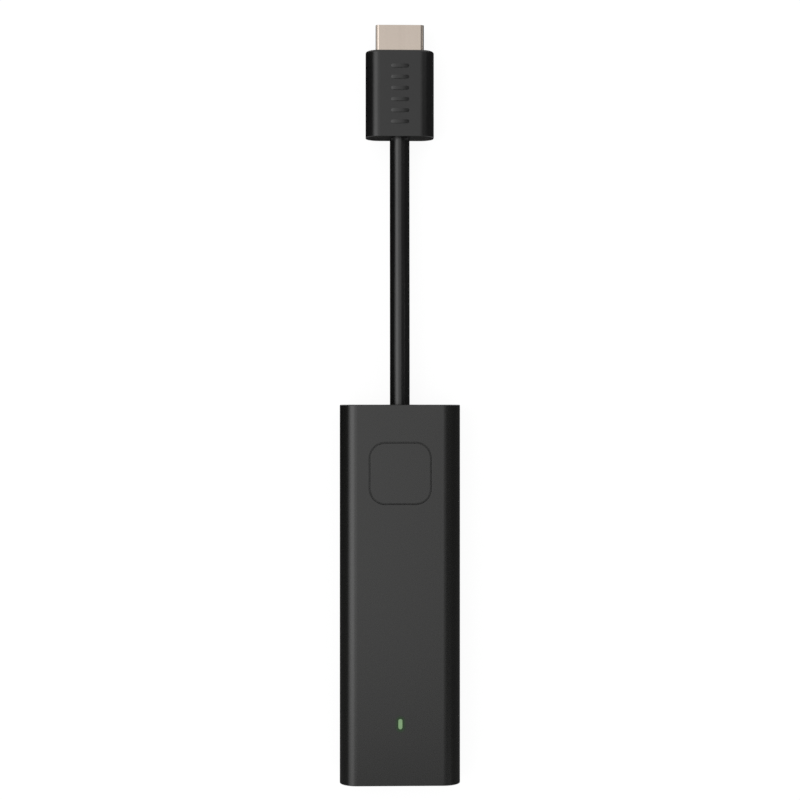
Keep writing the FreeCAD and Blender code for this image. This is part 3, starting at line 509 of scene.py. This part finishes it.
@dataclass(frozen=True)
class BlackOxideSteel(Finish):
    """Screw steel, blackened in a hot oxide bath."""

    # Nearly black with a blue-grey shine where the driver has rubbed it.
    name: str = "black_oxide_steel"
    shade: str = "#4a4b4e"
    deep_shade: str = "#2b2c2e"
    roughness: float = 0.38
    roughness_swing: float = 0.08
    metallic: float = 1.0
    patch_mm: float = 0.8
    grain_mm: float = 0.2
    tooth_mm: float = 0.002


@dataclass(frozen=True)
class ZincPlatedSteel(Finish):
    """Screw steel, zinc plated and passivated."""

    # Cool grey with a slight cloud.
    name: str = "zinc_plated_steel"
    shade: str = "#c9cccf"
    deep_shade: str = "#a9adb0"
    roughness: float = 0.3
    metallic: float = 1.0
    patch_mm: float = 0.8
    grain_mm: float = 0.2
    tooth_mm: float = 0.0015


@dataclass(frozen=True)
class SolderMaskLaminate(Finish):
    """Glass laminate under green solder mask."""

    # Deep glossy green, with the paler lines of the copper under it.
    name: str = "solder_mask_laminate"
    shade: str = "#1c5a3c"
    deep_shade: str = "#123f2a"
    roughness: float = 0.28
    roughness_swing: float = 0.06
    ior: float = 1.52
    patch_mm: float = 0.9
    grain_mm: float = 0.35
    tooth_mm: float = 0.01
    track_mm: float = 1.1
    track_wander: float = 0.55
    track_share: float = 0.08
    track_shade: str = "#2a7a52"

    def shades(self, tree: Tree, place: Socket) -> Socket:
        """Lays paler copper tracks under the mask.

        Args:
            tree: the material's node tree.
            place: the point on the part.

        Returns:
            The output that holds the colour.
        """
        mask = super().shades(tree, place)
        cells = add_node(tree, "ShaderNodeTexVoronoi", {
            "Vector": place, "Scale": per_metre(self.track_mm), "Randomness": self.track_wander},
            feature="DISTANCE_TO_EDGE")
        track = add_node(tree, "ShaderNodeMath", {
            0: cells.outputs["Distance"], 1: self.track_share}, operation="LESS_THAN")
        mixed = add_node(tree, "ShaderNodeMix", {
            SHARE: track, FROM_COLOUR: mask, TO_COLOUR: linear(self.track_shade)}, data_type="RGBA")
        return mixed.outputs[MIXED_COLOUR]


@dataclass(frozen=True)
class EpoxyMouldCompound(Finish):
    """Chip packages, pressed from filled black epoxy."""

    # Flat charcoal with a fine pale speck of the silica in it.
    name: str = "epoxy_mould_compound"
    shade: str = "#3a3b3d"
    deep_shade: str = "#2b2c2e"
    roughness: float = 0.55
    roughness_swing: float = 0.08
    ior: float = 1.55
    patch_mm: float = 0.25
    grain_mm: float = 0.15
    tooth_mm: float = 0.004


@dataclass(frozen=True)
class PressedFerrite(Finish):
    """Coil bodies, pressed from iron powder."""

    # Matt grey with the dark specks of the powder.
    name: str = "pressed_ferrite"
    shade: str = "#77787a"
    deep_shade: str = "#545557"
    roughness: float = 0.62
    ior: float = 1.6
    patch_mm: float = 0.2
    grain_mm: float = 0.15
    tooth_mm: float = 0.006


@dataclass(frozen=True)
class FiredCeramic(Finish):
    """Barium ceramic, fired in a block."""

    # Tan, even and slightly waxy.
    name: str = "fired_ceramic"
    shade: str = "#c9a982"
    deep_shade: str = "#b08f69"
    roughness: float = 0.42
    ior: float = 1.65
    patch_mm: float = 0.4
    grain_mm: float = 0.12
    tooth_mm: float = 0.003


@dataclass(frozen=True)
class GoldPlatedContact(Finish):
    """Copper alloy contacts, stamped and gold plated."""

    # Rich yellow with the shine of a worn coin.
    name: str = "gold_plated_contact"
    shade: str = "#e6bd5c"
    deep_shade: str = "#cfa346"
    roughness: float = 0.26
    metallic: float = 1.0
    patch_mm: float = 0.5
    grain_mm: float = 0.12
    tooth_mm: float = 0.0008
    draw: Draw = Draw.LENGTHWISE


@dataclass(frozen=True)
class TinnedBraid(Finish):
    """The cable's screen, woven from tinned copper wire."""

    # Bundles of bright wire cross each other, with painted shade in the gaps between them.
    name: str = "tinned_braid"
    shade: str = "#cfc8bb"
    deep_shade: str = "#7d766b"
    roughness: float = 0.34
    metallic: float = 1.0
    weave_mm: float = 1.2
    tooth_mm: float = 0.12
    axis_z: float = 6.5 * MM
    radius: float = 2.2 * MM

    def height(self, tree: Tree, place: Socket) -> Socket:
        """Crosses two sets of spiral bundles round the sleeve.

        Args:
            tree: the material's node tree.
            place: the point on the part.

        Returns:
            The output that holds the height.
        """
        part = add_node(tree, "ShaderNodeSeparateXYZ", {0: place})
        up = add_node(tree, "ShaderNodeMath", {0: part.outputs["Z"], 1: self.axis_z}, operation="SUBTRACT")
        turn = add_node(tree, "ShaderNodeMath", {0: part.outputs["X"], 1: up}, operation="ARCTAN2")
        girth = add_node(tree, "ShaderNodeMath", {0: turn, 1: self.radius}, operation="MULTIPLY")
        waves = []
        for way in ("ADD", "SUBTRACT"):
            run = add_node(tree, "ShaderNodeMath", {0: part.outputs["Y"], 1: girth}, operation=way)
            turns = add_node(tree, "ShaderNodeMath", {
                0: run, 1: 2 * math.pi * per_metre(self.weave_mm)}, operation="MULTIPLY")
            waves.append(add_node(tree, "ShaderNodeMath", {0: turns}, operation="SINE"))
        crossed = add_node(tree, "ShaderNodeMath", {0: waves[0], 1: waves[1]}, operation="MAXIMUM")
        raised = add_node(tree, "ShaderNodeMapRange", {"Value": crossed, "From Min": -1.0, "From Max": 1.0})
        return raised.outputs["Result"]

    def shades(self, tree: Tree, place: Socket) -> Socket:
        """Paints shade into the gaps between the bundles.

        Args:
            tree: the material's node tree.
            place: the point on the part.

        Returns:
            The output that holds the colour.
        """
        # Painted shade: the low parts of the weave take the deep shade.
        mixed = add_node(tree, "ShaderNodeMix", {
            SHARE: self.height(tree, place), FROM_COLOUR: linear(self.deep_shade),
            TO_COLOUR: linear(self.shade)}, data_type="RGBA")
        return mixed.outputs[MIXED_COLOUR]


@dataclass(frozen=True)
class FoilWrap(Finish):
    """Aluminium foil, wrapped round the signal pairs."""

    # Small creases catch the light at every turn.
    name: str = "foil_wrap"
    shade: str = "#d5d8dc"
    deep_shade: str = "#b9bdc2"
    roughness: float = 0.25
    metallic: float = 1.0
    patch_mm: float = 0.6
    grain_mm: float = 0.35
    tooth_mm: float = 0.04


@dataclass(frozen=True)
class ColouredInsulation(Finish):
    """Polyethylene, drawn round a thin wire in one colour."""

    # Waxy and bright.
    name: str = "wire_insulation"
    shade: str = "#b0392f"
    deep_shade: str = "#9a2f27"
    roughness: float = 0.38
    patch_mm: float = 0.8
    grain_mm: float = 0.2
    tooth_mm: float = 0.002


@dataclass(frozen=True)
class FilledSiliconePad(Finish):
    """Soft silicone filled with ceramic powder, cut from a sheet."""

    # Blue-grey putty with a fine crumb.
    name: str = "filled_silicone_pad"
    shade: str = "#8d99a6"
    deep_shade: str = "#76828f"
    roughness: float = 0.72
    ior: float = 1.43
    patch_mm: float = 0.4
    grain_mm: float = 0.2
    tooth_mm: float = 0.02


@dataclass(frozen=True)
class RolledAluminium(Finish):
    """Aluminium sheet, rolled, cut and left bare."""

    # Pale grey, with the long lines of the mill.
    name: str = "rolled_aluminium"
    shade: str = "#dcdddf"
    deep_shade: str = "#c4c6c8"
    roughness: float = 0.34
    roughness_swing: float = 0.08
    metallic: float = 1.0
    patch_mm: float = 2.0
    grain_mm: float = 0.3
    tooth_mm: float = 0.0015
    draw: Draw = Draw.LENGTHWISE


@dataclass(frozen=True)
class MouldedNylon(Finish):
    """Glass-filled nylon, moulded."""

    # Dull, with a faint cloud from the glass in it.
    name: str = "black_nylon"
    shade: str = "#232323"
    deep_shade: str = "#191919"
    roughness: float = 0.48
    roughness_swing: float = 0.07
    ior: float = 1.53
    patch_mm: float = 0.7
    grain_mm: float = 0.25
    tooth_mm: float = 0.003


def dress(nodes: Nodes, finish: Finish, *names: str) -> None:
    """Gives CAD nodes a finish.

    Args:
        nodes: the CAD nodes by name.
        finish: the finish that they get.
        names: the nodes that get it.
    """
    made = finish.material()
    for name in names:
        slots = nodes[name].material_slots
        if not slots:
            nodes[name].data.materials.append(made)
        for slot in slots:
            slot.material = made
        log.info("%s: %s", name, finish.name)


@dataclass
class SoftBox:
    """A flat lamp that hangs level over the stick."""

    name: str
    left: float
    right: float
    near: float
    far: float
    level: float
    height: float = 0.70

    def build(self) -> bpy.types.Object:
        """Hangs the lamp.

        Returns:
            The lamp.
        """
        lamp = bpy.data.lights.new(self.name, "AREA")
        lamp.shape = "RECTANGLE"
        lamp.size = self.right - self.left
        lamp.size_y = self.far - self.near
        lamp.energy = self.level * WATTS_PER_LEVEL * lamp.size * lamp.size_y
        hung = add_object(self.name, lamp)
        hung.location = ((self.left + self.right) / 2, (self.near + self.far) / 2, self.height)
        hung.visible_camera = False
        log.info("studio: %s", self.name)
        return hung


@dataclass
class Card:
    """A grey card that only reflections show, as a product studio has them round a glossy thing."""

    # Only its front shows: the side from which its corners run anticlockwise.
    name: str
    near_shade: str
    far_shade: str
    corners: tuple[Point, ...]

    @classmethod
    def level(cls, name: str, shade: str, across: tuple[float, float], along: tuple[float, float],
              height: float, faces_up: bool = False) -> "Card":
        """Describes a level card of one shade.

        Args:
            name: the card's name.
            shade: its colour.
            across: its two places along X.
            along: its two places along Y.
            height: its place along Z.
            faces_up: whether its front is its upper side. Otherwise it is its lower side.

        Returns:
            The card.
        """
        (left, right), (near, far) = across, along
        corners = ((left, near, height), (left, far, height), (right, far, height), (right, near, height))
        return cls(name, shade, shade, corners[::-1] if faces_up else corners)

    def paint(self) -> bpy.types.Material:
        """Fades the card from its near shade to its far one, and leaves its back clear.

        Returns:
            The card's material.
        """
        paint = bpy.data.materials.new(self.name)
        tree = empty_tree(paint)
        ends = [corner[1] for corner in self.corners]
        where = add_node(tree, "ShaderNodeTexCoord").outputs["Object"]
        part = add_node(tree, "ShaderNodeSeparateXYZ", {0: where})
        share = add_node(tree, "ShaderNodeMapRange", {
            "Value": part.outputs["Y"], "From Min": min(ends), "From Max": max(ends)})
        shade = add_node(tree, "ShaderNodeMix", {
            SHARE: share, FROM_COLOUR: linear(self.near_shade), TO_COLOUR: linear(self.far_shade)},
            data_type="RGBA")
        glow = add_node(tree, "ShaderNodeEmission", {"Color": shade.outputs[MIXED_COLOUR], "Strength": 1.0})
        clear = add_node(tree, "ShaderNodeBsdfTransparent")
        behind = add_node(tree, "ShaderNodeNewGeometry").outputs["Backfacing"]
        sides = add_node(tree, "ShaderNodeMixShader", {0: behind, 1: glow, 2: clear})
        add_node(tree, "ShaderNodeOutputMaterial", {"Surface": sides})
        return paint

    def build(self) -> bpy.types.Object:
        """Sets the card up.

        Returns:
            The card.
        """
        card = add_flat(self.name, self.corners, self.paint())
        for ray in ("camera", "diffuse", "transmission", "volume_scatter", "shadow"):
            setattr(card, f"visible_{ray}", False)
        return card


@dataclass
class Flags:
    """Low grey cards close along both sides of one stretch of the stick, with grey paper under it."""

    # They darken its rounded sides for a camera over it, and are too low for its face to show them. All
    # sizes are in millimetres, and pairs of shades run from the near end to the far one. The cut-offs
    # are how many degrees above level each side still sees its card.
    name: str
    along: tuple[float, float]
    tops: tuple[float, float]
    half_width: float
    radius: float
    reach: float
    cut_offs: tuple[float, float]
    left: tuple[str, str]
    right: tuple[str, str]
    paper: float = -0.05

    def height(self, top: float, cut_off: float) -> float:
        """Gives the height of a card whose top edge is mirrored at the cut-off.

        Args:
            top: the height of the stick's top at that place.
            cut_off: the cut-off of that side.

        Returns:
            The height of the card.
        """
        tilt = math.radians(90.0 - cut_off) / 2
        out = self.half_width - self.radius + self.radius * math.sin(tilt)
        up = top - self.radius + self.radius * math.cos(tilt)
        return up + (self.reach - out) * math.tan(math.radians(cut_off))

    def build(self) -> None:
        """Sets up both cards and both halves of the paper, with their fronts towards the stick."""
        near, far = self.along
        low = self.paper
        sides = (("left", -1, self.cut_offs[0], self.left), ("right", 1, self.cut_offs[1], self.right))
        for side, way, cut_off, shades in sides:
            out = way * self.reach
            near_top, far_top = (self.height(top, cut_off) for top in self.tops)
            flag = ((out, near, low), (out, far, low), (out, far, far_top), (out, near, near_top))
            paper = ((0.0, near, low), (0.0, far, low), (out, far, low), (out, near, low))
            for kind, corners in (("flag", flag), ("paper", paper)):
                placed = tuple((x * MM, y * MM, z * MM) for x, y, z in corners[::-way])
                Card(f"{kind}_{side}_of_{self.name}", *shades, placed).build()


@dataclass
class Studio:
    """The white floor, the lamps, the dark cards and the camera."""

    camera_place: Point = (-14.3 * MM, 55.75 * MM, 526.3 * MM)
    camera_aim: Point = (0.1 * MM, 55.75 * MM, 5.0 * MM)
    camera_sight: tuple[float, float] = (0.01, 20.0)
    lens_mm: float = 81.05
    film_mm: float = 36.0
    floor_half: float = 3.0
    floor_drop: float = 0.1 * MM
    floor_glow: float = 0.92
    floor_shade: str = "#5d5d5d"
    floor_paper: str = "#e7e7e7"
    fill_level: float = 0.8

    def seen(self, tree: Tree) -> Socket:
        """Tells the rays that show the background from those that light the stick.

        Args:
            tree: the node tree that asks.

        Returns:
            The output that is 1 for a camera, glossy or transmission ray.
        """
        path = add_node(tree, "ShaderNodeLightPath")
        either = add_node(tree, "ShaderNodeMath", {
            0: path.outputs["Is Camera Ray"], 1: path.outputs["Is Glossy Ray"]}, operation="MAXIMUM")
        any_of_them = add_node(tree, "ShaderNodeMath", {
            0: either, 1: path.outputs["Is Transmission Ray"]}, operation="MAXIMUM")
        return any_of_them.outputs[0]

    def camera(self) -> None:
        """Sets the camera above the stick, a degree and a half to its left, as the photograph was taken."""
        lens = bpy.data.cameras.new("camera")
        lens.sensor_fit = "HORIZONTAL"
        lens.sensor_width = self.film_mm
        lens.lens = self.lens_mm
        lens.clip_start, lens.clip_end = self.camera_sight
        held = add_object("camera", lens)
        held.location = self.camera_place
        across, down = self.camera_aim[0] - self.camera_place[0], self.camera_place[2] - self.camera_aim[2]
        held.rotation_euler = (0.0, -math.atan2(across, down), 0.0)
        bpy.context.scene.camera = held
        log.info("studio: camera")

    def world(self) -> None:
        """Makes the white background, and a plain fill light of its own level."""
        world = bpy.data.worlds.new("studio")
        tree = empty_tree(world)
        level = add_node(tree, "ShaderNodeMapRange", {
            "Value": self.seen(tree), "To Min": self.fill_level, "To Max": 1.0})
        glow = add_node(tree, "ShaderNodeBackground", {"Color": linear(WHITE), "Strength": level})
        add_node(tree, "ShaderNodeOutputWorld", {"Surface": glow})
        bpy.context.scene.world = world
        log.info("studio: world")

    def floor(self) -> None:
        """Lays the floor: plain white paper for what lights the stick, and nearly all glow where it shows.

        The part of it that doesn't glow keeps a faint shadow.
        """
        paint = bpy.data.materials.new("white_floor")
        tree = empty_tree(paint)
        paper = add_node(tree, "ShaderNodeBsdfDiffuse", {"Color": linear(self.floor_paper)})
        shaded = add_node(tree, "ShaderNodeBsdfDiffuse", {"Color": linear(self.floor_shade)})
        glow = add_node(tree, "ShaderNodeEmission", {"Color": linear(WHITE), "Strength": self.floor_glow})
        white = add_node(tree, "ShaderNodeAddShader", {0: shaded, 1: glow})
        both = add_node(tree, "ShaderNodeMixShader", {0: self.seen(tree), 1: paper, 2: white})
        add_node(tree, "ShaderNodeOutputMaterial", {"Surface": both})
        half = self.floor_half
        corners = ((-half, -half, 0.0), (half, -half, 0.0), (half, half, 0.0), (-half, half, 0.0))
        add_flat("floor", corners, paint).location.z = -self.floor_drop

    def cards(self) -> None:
        """Sets cards close along the stick, lays one behind the plug and hangs two wide ones over it."""
        black, dark = ("#161616", "#161616"), ("#4c4c4c", "#4c4c4c")
        plug_rear, plug_front, plug_reach = 131.0, 157.6, 12.5
        for flags in (
            Flags("case", along=(-58.0, 56.0), tops=(13.0, 13.0), half_width=17.3, radius=5.0, reach=20.0,
                  cut_offs=(31.0, 35.0), left=("#585858", "#161616"), right=("#5c5c5c", "#505050")),
            Flags("cable", along=(54.5, plug_rear), tops=(9.35, 7.85), half_width=2.85, radius=2.85,
                  reach=3.9, cut_offs=(27.0, 32.0), left=black, right=dark, paper=-0.045),
            Flags("plug", along=(plug_rear, plug_front), tops=(10.0, 10.0), half_width=9.85, radius=4.1,
                  reach=plug_reach, cut_offs=(33.0, 36.5), left=black, right=dark),
            Flags("shell", along=(plug_front, 168.0), tops=(7.225, 7.225), half_width=6.95, radius=1.0,
                  reach=plug_reach, cut_offs=(-23.0, 13.0), left=black, right=dark),
        ):
            flags.build()
        for card in (
            Card.level("paper_behind_plug", "#3a3a3a", across=(-plug_reach * MM, plug_reach * MM),
                       along=(0.100, plug_rear * MM), height=-0.04 * MM, faces_up=True),
            Card("card_over_right", "#5c5c5c", "#5c5c5c", corners=(
                (0.165, -0.255, 0.62), (0.165, 0.33, 0.62), (1.0, 0.42, 0.62), (1.0, -0.36, 0.62))),
            Card.level("card_over_near", "#2e2e2e", across=(-0.25, 0.25), along=(-0.75, -0.20), height=0.60),
        ):
            card.build()

    def lamps(self) -> None:
        """Hangs two soft boxes over the stick and a brighter one to their left."""
        for box in (
            SoftBox("top_box", left=-0.25, right=0.0, near=-0.16, far=0.30, level=0.26),
            SoftBox("edge_box", left=0.0, right=0.16, near=-0.16, far=0.30, level=0.08),
            SoftBox("left_box", left=-0.77, right=-0.25, near=-0.22, far=0.40, level=1.34),
        ):
            box.build()

    def build(self) -> None:
        """Builds the studio."""
        bpy.context.scene.view_settings.view_transform = "Standard"
        self.camera()
        self.world()
        self.floor()
        self.cards()
        self.lamps()


@dataclass
class Cable:
    """The free cable from the case to the plug."""

    width: float = 5.7 * MM
    length: float = 77.0 * MM
    round_steps: int = 12
    run_steps: int = 24
    route: tuple[Point, ...] = (
        (0.0, 54.4 * MM, 6.5 * MM),
        (0.0, 79.4 * MM, 6.5 * MM),
        (0.0, 106.4 * MM, 5.0 * MM),
        (0.0, 131.4 * MM, 5.0 * MM),
    )

    def build(self, nodes: Nodes) -> bpy.types.Object:
        """Lays the cable along its route on one smooth line.

        Args:
            nodes: the CAD nodes by name. It is not used.

        Returns:
            The cable.
        """
        line = bpy.data.curves.new("free_cable", "CURVE")
        line.dimensions = "3D"
        line.bevel_depth = self.width / 2
        line.bevel_resolution = self.round_steps
        line.use_fill_caps = True
        run = line.splines.new("NURBS")
        run.points.add(len(self.route) - 1)
        for point, place in zip(run.points, self.route):
            point.co = (*place, 1.0)
        run.order_u = 3
        run.use_endpoint_u = True
        run.resolution_u = self.run_steps
        line.materials.append(ExtrudedPvc().material())
        cable = add_object("free_cable", line)
        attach(cable, "case")
        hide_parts("video_cable")
        return cable


@dataclass
class Case:
    """The two covers, their screws, the button and the status light."""

    def dress(self, nodes: Nodes) -> None:
        """Finishes the outside of the case.

        Args:
            nodes: the CAD nodes by name.
        """
        # The front cover carries a painted glow and a painted shade round the status light.
        dress(nodes, PaintedSpillAbs(), "front_cover")
        dress(nodes, SparkTexturedAbs(), "rear_cover")
        dress(nodes, FineTexturedAbs(), "button_cap")
        dress(nodes, LitPolycarbonate(), "led_light_pipe")
        dress(nodes, BlackOxideSteel(), "case_screws")


@dataclass
class Board:
    """The board, its chips, their screens and the heat path."""

    def dress(self, nodes: Nodes) -> None:
        """Finishes the board and what is on it.

        Args:
            nodes: the CAD nodes by name.
        """
        dress(nodes, SolderMaskLaminate(), "main_board")
        dress(nodes, EpoxyMouldCompound(), "system_chip", "memory_chips", "flash_chip", "power_chip")
        dress(nodes, PressedFerrite(), "power_coils")
        dress(nodes, FiredCeramic(), "capacitors")
        dress(nodes, FiredCeramic("white_ceramic", "#e6e4da", "#d8d5c8"), "status_led")
        dress(nodes, TinPlatedSheet(), "shield_frame", "shield_lid", "rear_shield_can", "wireless_module",
              "clock_crystal", "antenna_left", "antenna_right")
        dress(nodes, FilledSiliconePad(), "chip_thermal_pad", "spreader_thermal_pad", "rear_thermal_pad")
        dress(nodes, RolledAluminium(), "heat_spreader", "rear_heat_plate")


@dataclass
class Switch:
    """The push switch under the button."""

    dome_seat: float = 6.9 * MM
    dome_rise: float = 0.5 * MM
    travel: float = 0.35 * MM

    def snap_dome(self, node: bpy.types.Object) -> bpy.types.Object:
        """Makes the snap dome, a copy of its CAD node with a mesh of its own. In the real switch the stem
        flattens it as the button goes down.

        Args:
            node: the CAD node that it stands for.

        Returns:
            The dome.
        """
        dome = add_object("snap_dome", node.data.copy())
        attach(dome, "case")
        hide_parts("switch_dome")
        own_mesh(dome)
        log.info("snap dome")
        return dome

    def dress(self, nodes: Nodes) -> None:
        """Finishes the switch, and then makes its dome.

        Args:
            nodes: the CAD nodes by name.
        """
        dress(nodes, MouldedNylon(), "switch_body")
        dress(nodes, MouldedNylon("switch_stem_plastic", "#5a5a5c", "#48484a"), "switch_stem")
        dress(nodes, TinPlatedSheet("switch_sheet", draw=Draw.CROSSWISE), "switch_cover", "switch_dome",
              "switch_terminals")
        self.snap_dome(nodes["switch_dome"])


@dataclass
class PowerSocket:
    """The power socket in the lower end."""

    def dress(self, nodes: Nodes) -> None:
        """Finishes the socket.

        Args:
            nodes: the CAD nodes by name.
        """
        dress(nodes, DrawnSteel(), "power_socket_shell")
        dress(nodes, MouldedNylon("socket_nylon"), "power_socket_base", "power_socket_tongue")
        dress(nodes, GoldPlatedContact(), "power_socket_contacts")


@dataclass
class CableEntry:
    """What holds the cable in the case, and its wires to the board."""

    def dress(self, nodes: Nodes) -> None:
        """Finishes the cable's end in the case.

        Args:
            nodes: the CAD nodes by name.
        """
        dress(nodes, ExtrudedPvc("inner_pvc"), "cable_tail", "cable_grommet")
        dress(nodes, TinnedBraid(), "cable_braid")
        dress(nodes, TinPlatedSheet("clamp_sheet", draw=Draw.CROSSWISE), "cable_clamp")
        dress(nodes, ZincPlatedSteel(), "clamp_screws")
        dress(nodes, MouldedNylon("ivory_nylon", "#d9d0b4", "#c8bd9e"), "cable_header")
        dress(nodes, FoilWrap(), "signal_pairs")
        dress(nodes, ColouredInsulation(), "control_wires")


@dataclass
class VideoPlug:
    """The plug at the far end of the cable."""

    def dress(self, nodes: Nodes) -> None:
        """Finishes the plug.

        Args:
            nodes: the CAD nodes by name.
        """
        dress(nodes, OvermouldedElastomer(), "plug_housing")
        dress(nodes, SatinNickelPlate(), "plug_shell")
        dress(nodes, MouldedNylon("plug_nylon"), "plug_insulator")
        dress(nodes, GoldPlatedContact("plug_gold"), "plug_upper_contacts", "plug_lower_contacts")
        dress(nodes, TinPlatedSheet("plug_sheet"), "plug_shield_cover", "plug_crimp_ring")
        dress(nodes, MouldedNylon("inner_mould_nylon", "#d9d0b4", "#c8bd9e"), "plug_inner_mould")
        dress(nodes, ColouredInsulation("plug_wire_insulation", "#3f6fb0", "#335c96"), "plug_conductors")
        dress(nodes, ExtrudedPvc("plug_pvc"), "plug_cable_tail")


def main() -> None:
    """Builds the studio, the cable and the finishes."""
    logging.basicConfig(level=logging.INFO, format="%(message)s")
    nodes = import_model()["nodes"]
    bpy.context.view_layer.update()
    Studio().build()
    Cable().build(nodes)
    Case().dress(nodes)
    Board().dress(nodes)
    Switch().dress(nodes)
    PowerSocket().dress(nodes)
    CableEntry().dress(nodes)
    VideoPlug().dress(nodes)


if __name__ == "__main__":
    main()
